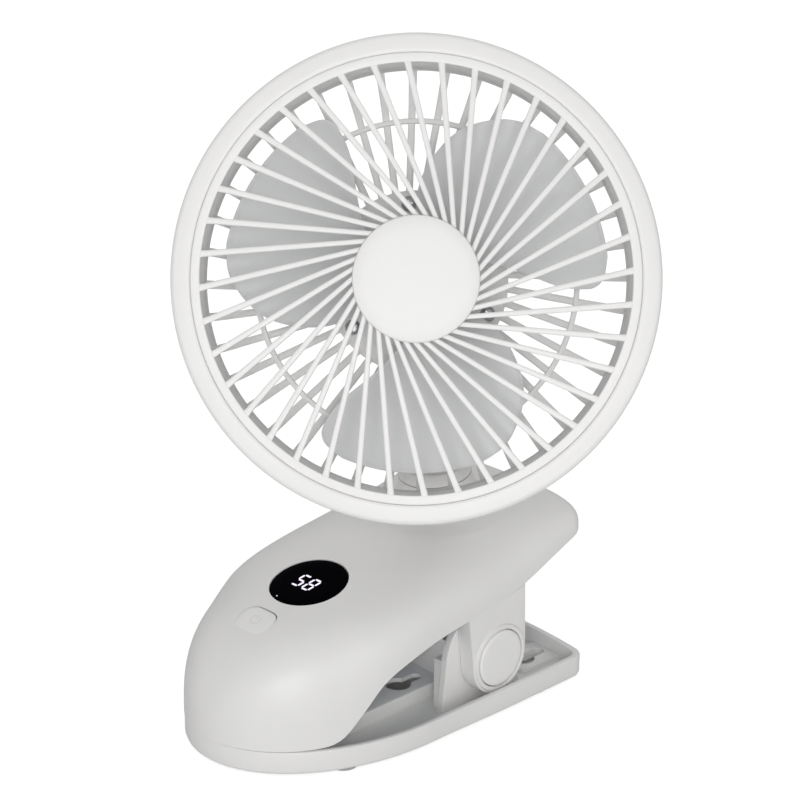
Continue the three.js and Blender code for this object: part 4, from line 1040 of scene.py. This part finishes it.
class CLIPFAN_OT_display(bpy.types.Operator):
    """Model the round smoked window and its lit digits"""
    bl_idname = "clipfan.display"
    bl_label = "Display"

    def execute(self, context):
        window = self.window(Millimetres("jaw").display)
        finished(
            window, "display_glass", "window", "upper_jaw", "black_window", "display_window"
        )
        place = on_ridge(DISPLAY_Y, TOP_SLOPE)
        bars = [
            prism(segment_bar(*SEGMENTS[key], x0), -0.02, 0.05, place)
            for lit, x0 in DIGITS for key in lit
        ]
        bars.append(prism(circle(0.26, 16, DISPLAY_DOT), -0.3, 0.0, place))
        finished(merged(*bars), "display_digits", "digits", "upper_jaw", "black_window")
        return {"FINISHED"}

    def window(self, radius):
        """Disc whose top follows the shell, a hair lower, with a softened rim"""
        profile = (
            (0.02, 0.1), (radius * 0.35, 0.1), (radius * 0.7, 0.1), (radius - 0.5, 0.11),
            (radius - 0.15, 0.2), (radius, 0.45), (radius, 1.6), (0.02, 1.6),
        )
        return skinned([
            [on_dome(x, rise, DISPLAY_Y, TOP_SLOPE, sink) for x, rise in circle(r, 96)]
            for r, sink in profile
        ])


class CLIPFAN_OT_button(bpy.types.Operator):
    """Model the power button with its moulded mark"""
    bl_idname = "clipfan.button"
    bl_label = "Power button"

    def execute(self, context):
        radius, outline = Millimetres("jaw").button, button_outline()
        profile = ((0.0, 3.2), (0.0, 0.35), (0.1, 0.1), (0.35, 0.0), (2.0, -0.03), (5.0, -0.06))
        rings = []
        for shrink, sink in profile:
            scale = 1 - shrink / radius
            rings.append([self.point(x * scale, rise * scale, sink) for x, rise in outline])
        finished(skinned(rings), "button_top", "ring", "button", "white_gloss", "power_button")
        mark = merged(self.ring_mark(), self.bar_mark())
        finished(mark, "button_mark", "mark", "button", "white_gloss")
        return {"FINISHED"}

    def point(self, x, rise, sink):
        return on_dome(x, rise, BUTTON_Y, BUTTON_SLOPE, sink)

    def stroke(self, low, high):
        """Section of the mark, from low to high and barely proud: place and sink"""
        return (low, 0.02), (high, 0.02), (high, -0.08), (low, -0.08)

    def ring_mark(self):
        """An open ring"""
        turns = arc((0, 0), 1, math.radians(125), math.radians(415), 40)
        return skinned([
            [self.point(r * c, r * s, sink) for r, sink in self.stroke(1.75, 2.1)]
            for c, s in turns
        ])

    def bar_mark(self):
        return skinned([
            [self.point(x, rise, sink) for x, sink in self.stroke(-0.17, 0.17)]
            for rise in (0.4, 1.2, 2.4)
        ])


# ---------- pins, spring and inner parts

PIN_RADIUS = 2.5
PIN_HALF = 38.1
PORT_DEPTH = 7.4
SPRING_RADIUS = 6.4
SPRING_WIRE = 0.9
SPRING_PITCH = 2.6
SPRING_TURNS = 6
SPRING_LEGS = (math.radians(30), math.radians(45))
HINGE_HEIGHT = 37.0  # tilt pin above the swivel's seat
HINGE_HALF = 10.7
FORK_HALF = 6.3  # half the gap between the lugs of the motor cover
TILT_PIN_RADIUS = 2
TILT_BORE = 2.3
KNUCKLE = 7.6
PLATE_FRONT = -33.6
PLATE_BACK = -36
SCREW_SINK = 0.6
SCREW_PLACES = [
    (26.4 * math.cos(math.radians(a)), 26.4 * math.sin(math.radians(a))) for a in (90, 210, 330)
]


class CLIPFAN_OT_hardware(bpy.types.Operator):
    """Model the pins, the torsion spring, the screws and the charging inlet"""
    bl_idname = "clipfan.hardware"
    bl_label = "Pins, spring and inlet"

    def execute(self, context):
        pin = lathe(band(0, PIN_RADIUS, -PIN_HALF, PIN_HALF, 0.4), 48, PIVOT_ROD)
        finished(pin, "pivot_rod", "steel", "base", "steel", "pivot_pin")
        spring = finished(
            self.spring(), "spring_wire", "steel", None, "steel", "clamp_spring", crease=60
        )
        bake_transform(spring)
        hinge = NECK @ at(0, 0, HINGE_HEIGHT) @ QUARTER_TURN
        axle = lathe(band(0, TILT_PIN_RADIUS, -HINGE_HALF, HINGE_HALF, 0.35), 40, hinge)
        finished(axle, "tilt_axle", "steel", "neck", "steel", "tilt_pin")
        port_place = port_frame(TAIL_Y - 0.6)
        port = prism(port_outline(), -PORT_DEPTH, 0, port_place)
        bored(port, port_outline(-0.4), 1 - PORT_DEPTH, 1, port_place)
        finished(port, "inlet_sleeve", "steel", "upper_jaw", "steel", "charge_port")
        for number, (x, y) in enumerate(SCREW_PLACES, 1):
            screw = self.screw(HEAD @ at(x, y))
            name = "screw_%d" % number
            finished(screw, name, "steel", "head", "steel", "motor_" + name)
        return {"FINISHED"}

    def screw(self, place):
        """Round head with a cross recess, on a short shank"""
        seat = PLATE_FRONT - SCREW_SINK
        profile = [
            (0, seat - 6), (1.2, seat - 6), (1.2, seat), (2.4, seat), (2.4, seat + 0.7),
            (2.1, seat + 1.15), (1.4, seat + 1.42), (0.6, seat + 1.5), (0, seat + 1.5),
        ]
        screw = lathe(profile, 40, place)
        for turn in (0.3, 0.3 + PI / 2):
            cross = place @ Matrix.Rotation(turn, 4, "Z")
            bored(screw, rounded_rect(2.6, 0.55, 0.1, 2), seat + 0.7, seat + 3, cross)
        return screw

    def spring(self):
        """The wire: a leg from the tray, six coils round the pin, a leg to the jaw"""
        radius, wire, turns = SPRING_RADIUS, SPRING_WIRE, SPRING_TURNS
        low, high = SPRING_LEGS
        start = PI * 1.5 - low
        end = PI * 0.5 + high - turns * 2 * PI
        width = (start - end) / (2 * PI) * SPRING_PITCH

        def coil(a):
            x = width * (start - a) / (start - end) - width / 2
            y, z = PIVOT_YZ
            return Vector((x, y + radius * math.cos(a), z + radius * math.sin(a)))

        first = coil(start)
        reach = (first.z - TRAY_FLOOR - wire - 0.3) / math.sin(low)
        leg = Vector((0, math.cos(low), -math.sin(low)))
        path = [first + leg * reach * t for t in (1, 0.5, 0.1)]
        steps = 32 * turns + 10
        path += [coil(lerp(start, end, i / steps)) for i in range(steps + 1)]
        last = path[-1]
        reach = radius
        for _ in range(12):
            roof = shell_edge(last.y + reach * math.cos(high)) - wire
            reach = (roof - last.z) / math.sin(high)
        leg = Vector((0, math.cos(high), math.sin(high)))
        path += [last + leg * reach * t for t in (0.1, 0.5, 1)]
        rings = []
        for i, centre in enumerate(path):
            tangent = (path[min(i + 1, len(path) - 1)] - path[max(i - 1, 0)]).normalized()
            across = (X - tangent * tangent.x).normalized()
            other = tangent.cross(across)
            rings.append([tuple(centre + across * c + other * s) for c, s in circle(wire, 12)])
        return skinned(rings)


class CLIPFAN_OT_inner(bpy.types.Operator):
    """Give the parts inside the casings their finishes"""
    bl_idname = "clipfan.inner"
    bl_label = "Inner parts"

    def execute(self, context):
        for node, key in (
            ("display_module", "inner"), ("circuit_board", "board"), ("button_switch", "inner"),
            ("battery_pack", "wrap"), ("swivel_retainer", "inner"), ("motor_can", "steel"),
            ("motor_shaft", "steel"),
        ):
            obj = frame["nodes"][node]
            obj = obj if hasattr(obj, "material_slots") else bpy.data.objects[node]
            for slot in obj.material_slots:
                slot.material = MATERIALS[key]
        return {"FINISHED"}


# ---------- neck

ARM_HALF_WIDTH = 12.5
ARM_HALF_DEPTH = 7.5
ARM_LEVELS = 14


def squarish(value):
    return math.copysign(abs(value) ** 0.6, value)


class CLIPFAN_OT_neck(bpy.types.Operator):
    """Model the neck arm between the collar and the tilt hinge"""
    bl_idname = "clipfan.neck"
    bl_label = "Neck arm"

    def execute(self, context):
        base = lathe(rounded([(0, 0.3), (13, 0.3), (13, 2.4), (12.4, 5), (0, 5)], 0.5), 96)
        arm = bevelled(self.arm(), 0.8, 3, 60)
        cross = at(0, 0, HINGE_HEIGHT) @ QUARTER_TURN
        head = lathe(band(0, KNUCKLE, -6, 6, 0.5), 64, cross)
        web_outline = rounded_rect(12, KNUCKLE * 1.8, 0.6, 4)
        web = prism(web_outline, HINGE_HEIGHT - KNUCKLE - 3, HINGE_HEIGHT)
        fused(arm, base, head, web, prism(circle(8, 64), -5.5, 3))
        bored(arm, circle(TILT_BORE, 32), -20, 20, cross)
        placed(arm, NECK)
        finished(arm, "neck_casting", "casing", "neck", "white_plastic", "neck_arm")
        return {"FINISHED"}

    def arm(self):
        """Squarish stem, flared at its foot and drawn in at its top"""
        top = HINGE_HEIGHT - KNUCKLE - 1.2
        turns = [2 * PI * (k + 0.5) / 96 for k in range(96)]
        rings = []
        for i in range(ARM_LEVELS + 1):
            t = i / ARM_LEVELS
            shrink = 1 - 1.6 * max(0.0, t - 0.75) ** 2
            flare = 1 + 0.06 * (1 - smoothstep(t / 0.35))
            wide = ARM_HALF_WIDTH * shrink * min(flare, 1.03)
            deep = ARM_HALF_DEPTH * shrink * flare
            rings.append([
                (wide * squarish(math.cos(a)), deep * squarish(math.sin(a)), lerp(3, top, t))
                for a in turns
            ])
        return skinned(rings)


# ---------- head

SPOKE_PHASE = math.radians(7.8)
SPOKE_EDGE = 0.35
REAR_LIP = 2.9  # the rear grille's rim lies inside the ring by this much


class CLIPFAN_OT_ring(bpy.types.Operator):
    """Model the round casing of the head"""
    bl_idname = "clipfan.ring"
    bl_label = "Head casing"

    def execute(self, context):
        sizes = Millimetres("head")
        outer, back = sizes.radius, -sizes.depth
        seam, inside = sizes.seam + 0.09, sizes.opening + 0.2
        profile = [
            (outer - 4.8, back), (outer - REAR_LIP, back), (outer - 2.6, back + 0.3),
            (outer - 1.0, -11), (outer - 0.25, -6.0), (outer, -3.0),
        ]
        profile += [
            (outer - 1.7 + 1.7 * c, -2.1 + 1.8 * s) for c, s in arc((0, 0), 1, 0, PI / 2, 8)
        ]
        profile += [
            (outer - 3.4, -0.13), (seam + 1.2, -0.02), (seam + 0.16, -0.02), (seam, -0.16),
            (seam, -2.9), (inside - 0.1, -2.9), (inside - 0.5, -7), (inside - 0.8, back + 0.6),
            (inside - 0.5, back + 0.3), (inside + 2.4, back + 0.3), (inside + 2.4, -5.1),
            (outer - 2.6, -5.1),
        ]
        ring = lathe(profile, 256, HEAD)
        finished(ring, "head_ring", "ring", "head", "white_plastic", "head_housing", crease=50)
        return {"FINISHED"}


def spoke_bar(path):
    """Bar with eased edges; path holds (x, y, width, front, depth) stations"""
    rings = []
    for x, side, width, front, depth in path:
        half = width / 2
        c = min(SPOKE_EDGE, half * 0.7)
        outline = [
            (-half + c, front - depth), (half - c, front - depth), (half, front - depth + c),
            (half, front - c), (half - c * 0.3, front - c * 0.3), (half - c, front),
            (-half + c, front), (-half + c * 0.3, front - c * 0.3), (-half, front - c),
            (-half, front - depth + c),
        ]
        rings.append([(x, side + y, z) for y, z in outline])
    return skinned(rings)


class CLIPFAN_OT_front_grille(bpy.types.Operator):
    """Model the front grille with its slanted spokes and the hub cap"""
    bl_idname = "clipfan.front_grille"
    bl_label = "Front grille"

    def execute(self, context):
        sizes = Millimetres("head")
        hub = sizes.hub
        pieces = [
            lathe(band(sizes.opening, sizes.seam, -2.6, 0, 0.45), 256),
            lathe(band(0, hub - 1.2, 0, 2.4, 0.3), 96),
        ]
        path = self.spoke(sizes.tangent, sizes.opening, hub)
        for i in range(sizes.spokes):
            turn = Matrix.Rotation(SPOKE_PHASE + 2 * PI * i / sizes.spokes, 4, "Z")
            pieces.append(placed(spoke_bar(path), turn))
        grille = placed(merged(*pieces), HEAD)
        finished(
            grille, "front_spokes", "ring", "head", "white_gloss", "front_grille", crease=50
        )
        profile = [
            (0, 2.7), (hub - 0.5, 2.7), (hub, 3.1), (hub - 0.02, 3.6), (hub - 0.25, 3.95),
            (hub - 0.9, 4.15), (hub * 0.8, 4.36), (hub * 0.5, 4.52), (0, 4.6),
        ]
        finished(lathe(profile, 160, HEAD), "hub_disc", "ring", "head", "white_gloss", "hub_cap")
        return {"FINISHED"}

    def spoke(self, tangent, opening, hub):
        """Stations of a spoke that falls from the hub to the rim and flares where it ends"""
        start = math.sqrt((hub - 3.5) ** 2 - tangent ** 2)
        end = math.sqrt((opening + 1.4) ** 2 - tangent ** 2)
        path = []
        for i in range(17):
            t = i / 16
            flare = 0.4 * max(0.0, (t - 0.93) / 0.07) ** 2
            front = lerp(2.4, -0.15, smoothstep(t) * 0.35 + t * 0.65)
            path.append((lerp(start, end, t), -tangent, lerp(1.6, 2.1, t) + flare, front, 2.4))
        return path


class CLIPFAN_OT_rear_grille(bpy.types.Operator):
    """Model the dished rear grille and the motor plate"""
    bl_idname = "clipfan.rear_grille"
    bl_label = "Rear grille"

    def execute(self, context):
        sizes = Millimetres("head")
        ring, opening = sizes.rear_ring, sizes.opening
        back, outer = -sizes.depth - 0.3, sizes.radius - REAR_LIP
        inner = opening - 0.6
        rim = [(inner, back - 3), (outer - 2, back - 3), (outer, back), (inner, back)]
        plate = lathe(band(14.3, sizes.rear_plate, PLATE_BACK, PLATE_FRONT, 0.5), 128)
        for x, y in SCREW_PLACES:
            bored(plate, circle(2.7, 40, (x, y)), PLATE_FRONT - 0.9, -33)
            bored(plate, circle(1.5, 24, (x, y)), -37, -33)
        pieces = [
            lathe(rounded(rim, 0.8), 224),
            lathe(band(ring - 0.9, ring + 0.9, -32.4, -29.8, 0.4), 192),
            plate,
        ]
        start, end = sizes.rear_plate - 1.5, inner + 2.2
        dish = through([
            (start, PLATE_FRONT), (ring, -30.3), (opening - 8, -27.6), (opening - 3, -23.6),
            (end, back - 0.5),
        ])
        lean = through([(start, 2.0), (ring, 0.8), (opening, 0.0)])
        path = []
        for i in range(25):
            x = lerp(start, end, i / 24)
            width = 2.4 + 0.4 * smoothstep((x - opening + 14) / 14)
            depth = 2.3 + 1.7 * smoothstep((x - sizes.rear_plate) / 16)
            path.append((x, lean(x), width, dish(x), depth))
        for i in range(sizes.spokes):
            turn = Matrix.Rotation(2 * PI * (i + 0.5) / sizes.spokes, 4, "Z")
            pieces.append(placed(spoke_bar(path), turn))
        grille = placed(merged(*pieces), HEAD)
        # The rear spokes take the lighter grille white: partly their own white, partly painted
        # light on spokes that stand in shade
        finished(
            grille, "rear_spokes", "ring", "head", "white_plastic", "rear_grille", crease=50
        )
        return {"FINISHED"}


class CLIPFAN_OT_rear_cover(bpy.types.Operator):
    """Model the motor cover with the lugs of the tilt hinge"""
    bl_idname = "clipfan.rear_cover"
    bl_label = "Motor cover"

    def execute(self, context):
        radius, back, front, wall = 30.6, -50.0, -36.3, 2.2
        ahead, rise = -48.0, -32.5  # the tilt pin, along and across the head's axis
        shoulder = 9
        flat = radius - shoulder
        profile = [(0, back), (flat, back)]
        profile += [
            (flat + shoulder * math.sin(PI * i / 16), back + 6 * (1 - math.cos(PI * i / 16)))
            for i in range(1, 9)
        ]
        profile += [
            (radius, front), (radius - wall, front), (radius - wall, back + 6.5),
            (flat, back + wall), (0, back + wall),
        ]
        cover = lathe(profile, 128)
        lug = arc((ahead, rise), KNUCKLE, PI, 2 * PI, 32) + [
            (ahead + KNUCKLE + 3, -radius + 5), (ahead - 1.6, -radius + 8),
            (ahead - KNUCKLE, rise + 1),
        ]
        turned = square_frame(Z, -X, (0, 0, 0))
        for low, high in ((FORK_HALF, HINGE_HALF), (-HINGE_HALF, -FORK_HALF)):
            fused(cover, bevelled(prism(lug, low, high, turned), 0.6))
        cross = at(0, rise, ahead) @ QUARTER_TURN
        bored(cover, circle(KNUCKLE + 0.8, 64), -FORK_HALF, FORK_HALF, cross)
        bored(cover, circle(TILT_BORE, 32), -20, 20, cross)
        placed(cover, HEAD)
        finished(cover, "motor_cover", "casing", "head", "white_plastic", "rear_cover")
        return {"FINISHED"}


BLADE_EDGES = (  # degrees of the leading and trailing edge against the radius
    through([(16, 24), (30, 10), (44, 0.5), (56, -1), (61, 2), (63, 9)]),
    through([(16, 93), (30, 90.5), (43, 82), (51, 75), (58, 65.5), (61.5, 58.5), (63, 51)]),
)
BLADE_RADII = (17.0, 63.0)
BLADE_SHARES = [0.0, 0.004, 0.012] + [k / 32 for k in range(1, 32)] + [0.988, 0.996, 1.0]
BLADE_PHASE = 7.3
BLADE_SPAN = 89
BLADE_HALF_THICKNESS = 0.8


class CLIPFAN_OT_impeller(bpy.types.Operator):
    """Model the three broad blades and their hub"""
    bl_idname = "clipfan.impeller"
    bl_label = "Blades"

    def execute(self, context):
        sizes = Millimetres("head")
        hub = [(1.8, -24.5), (19.5, -24.5), (19.5, -9.5), (15.5, -6.5), (1.8, -6.5)]
        pieces = [lathe(rounded(hub, 1.2, 6), 128)]
        rings = self.blade(sizes.blade_tip / BLADE_RADII[1])
        for i in range(sizes.blades):
            turn = Matrix.Rotation(2 * PI * i / sizes.blades, 4, "Z")
            pieces.append(placed(skinned(rings), turn))
        rotor = placed(merged(*pieces), HEAD)
        finished(rotor, "blades", "blade", "rotor", "blade_plastic", "impeller", crease=50)
        return {"FINISHED"}

    def blade(self, stretch):
        """Pitched and cambered sheet, thin at its edges but for a fine bead"""
        rings = []
        for i in range(49):
            t = i / 48
            radius = lerp(*BLADE_RADII, 1 - (1 - t) ** 1.5)
            low, high = (edge(radius) for edge in BLADE_EDGES)
            front, back = [], []
            for s in BLADE_SHARES:
                degrees = lerp(low, high, s)
                angle = math.radians(degrees - BLADE_PHASE)
                sweep = (degrees + 1) / BLADE_SPAN
                z = lerp(-21.5, -9.5, sweep) - 1.5 * math.sin(PI * sweep)
                bead = 0.22 if min(s, 1 - s) < 0.01 or t > 0.95 else 0.0
                body = 0.45 + 0.55 * min(1.0, 6 * s, 6 * (1 - s), 8 * (1 - t) + 0.15)
                thick = BLADE_HALF_THICKNESS * body + bead
                r = radius * stretch
                x, y = r * math.cos(angle), r * math.sin(angle)
                front.append((x, y, z + thick))
                back.append((x, y, z - thick))
            rings.append(back + front[::-1])
        return rings


# ---------- stage

CAMERA_PLACE = Vector((0.5511, -0.5264, 0.3976))
CAMERA_RIGHT = Vector((0.70015, 0.71395, 0.00841))
CAMERA_UP = Vector((-0.25776, 0.24175, 0.93548))
CAMERA_LENS = 109.06
LAMP_TARGET = Vector((0.0, 0.0, 0.1))
LAMPS = (("key", (1.15, -1.15, 0.55), 1.0, 12.2), ("fill", (-0.95, 0.8, 1.2), 1.5, 3.2))
FLOOR_HALF = 3000
FOOT_Z = -1  # underside of the rubber feet
SHADE_HALF = (0.038, 0.060)  # half sizes of the painted shadow under the tray, in metres
SHADE_CENTRE_Y = 0.009


class CLIPFAN_OT_stage(bpy.types.Operator):
    """Set up the camera, the lamps, the world and the floor"""
    bl_idname = "clipfan.stage"
    bl_label = "Stage"

    def execute(self, context):
        scene = context.scene
        scene.view_settings.view_transform = "Standard"
        data = bpy.data.cameras.new("camera")
        data.lens = CAMERA_LENS
        data.sensor_width = 36.0
        data.clip_start = 0.01
        camera = bpy.data.objects.new("camera", data)
        back = CAMERA_RIGHT.cross(CAMERA_UP)
        camera.matrix_world = axes_frame(CAMERA_RIGHT, CAMERA_UP, back, CAMERA_PLACE)
        scene.collection.objects.link(camera)
        scene.camera = camera
        for lamp in LAMPS:
            self.lamp(*lamp)
        self.world(scene)
        self.floor()
        return {"FINISHED"}

    def lamp(self, name, place, size, power):
        light = bpy.data.lights.new(name, "AREA")
        light.shape = "DISK"
        light.size = size
        light.energy = power
        obj = bpy.data.objects.new(name, light)
        obj.location = place
        obj.rotation_euler = (LAMP_TARGET - Vector(place)).to_track_quat("-Z", "Y").to_euler()
        bpy.context.scene.collection.objects.link(obj)

    def world(self, scene):
        """White where it is seen, dimmer where it lights and mirrors in the part"""
        world = bpy.data.worlds.new("studio")
        world.use_nodes = True
        nodes = Tree(world.node_tree)
        background = nodes.tree.nodes["Background"]
        seen = nodes.ray("Camera") + nodes.ray("Transmission")
        strength = seen * 0.53 + nodes.ray("Glossy") * 0.1 + 0.47
        feed(nodes.tree, background.inputs["Color"], (1.0, 1.0, 1.0))
        feed(nodes.tree, background.inputs["Strength"], strength)
        scene.world = world

    def floor(self):
        """Plain pale floor; the glow that whitens it stops under the tray, which paints a shadow
        there
        """
        signs = ((-1, -1), (1, -1), (1, 1), (-1, 1))
        corners = [(sx * FLOOR_HALF, sy * FLOOR_HALF, FOOT_Z) for sx, sy in signs]
        plane = made(corners, [(0, 1, 2, 3)])
        plane.name = "floor"
        shader = Shader("Pale floor")
        shader.set(Base_Color=(0.80, 0.80, 0.80), Roughness=0.9)
        x, y = (
            shader.node("ShaderNodeSeparateXYZ", {"Vector": shader.where()}, output=axis)
            for axis in "XY"
        )
        # Painted shadow: the floor's glow is cut off in a rounded patch under the tray, which shows
        # through the keyholes
        across = x * (1 / SHADE_HALF[0])
        along = (y - SHADE_CENTRE_Y) * (1 / SHADE_HALF[1])
        across, along = across * across, along * along
        clear = (across * across + along * along).maths("GREATER_THAN", 1.0)
        tint = shader.blend(shader.ray("Camera") * clear, (0, 0, 0), (1, 1, 1))
        glow = shader.node("ShaderNodeEmission", {"Color": tint, "Strength": 0.62})
        surface = Value(shader.tree, shader.surface.outputs[0])
        total = shader.node("ShaderNodeAddShader", {0: surface, 1: glow})
        feed(shader.tree, shader.tree.nodes["Material Output"].inputs["Surface"], total)
        plane.data.materials.append(shader.material)


# ---------- add-on

OPERATORS = (
    CLIPFAN_OT_tray, CLIPFAN_OT_feet, CLIPFAN_OT_shell, CLIPFAN_OT_underside, CLIPFAN_OT_caps,
    CLIPFAN_OT_pads, CLIPFAN_OT_display, CLIPFAN_OT_button, CLIPFAN_OT_hardware,
    CLIPFAN_OT_inner, CLIPFAN_OT_neck, CLIPFAN_OT_ring, CLIPFAN_OT_front_grille,
    CLIPFAN_OT_rear_grille, CLIPFAN_OT_rear_cover, CLIPFAN_OT_impeller, CLIPFAN_OT_stage,
)
GROUPS = (
    ("clip_fan_head", HeadSizes), ("clip_fan_jaw", JawSizes), ("clip_fan_tray", TraySizes),
    ("clip_fan_finish", Finish),
)


class CLIPFAN_PT_panel(bpy.types.Panel):
    """Lists the pieces of the clip fan"""
    bl_label = "Clip fan"
    bl_idname = "CLIPFAN_PT_panel"
    bl_space_type = "VIEW_3D"
    bl_region_type = "UI"
    bl_category = "Clip fan"

    def draw(self, context):
        for operator in OPERATORS:
            self.layout.operator(operator.bl_idname)
        for name, group in GROUPS:
            box = self.layout.box()
            box.label(text=group.__doc__)
            for key in group.__annotations__:
                box.prop(getattr(context.scene, name), key)


CLASSES = (*(group for _, group in GROUPS), *OPERATORS, CLIPFAN_PT_panel)


def register():
    for each in CLASSES:
        bpy.utils.register_class(each)
    for name, group in GROUPS:
        setattr(bpy.types.Scene, name, PointerProperty(type=group))


def unregister():
    for name, _ in GROUPS:
        delattr(bpy.types.Scene, name)
    for each in reversed(CLASSES):
        bpy.utils.unregister_class(each)


def main():
    register()
    make_materials()
    for operator in OPERATORS:
        group, name = operator.bl_idname.split(".")
        getattr(getattr(bpy.ops, group), name)()


if __name__ == "__main__":
    main()
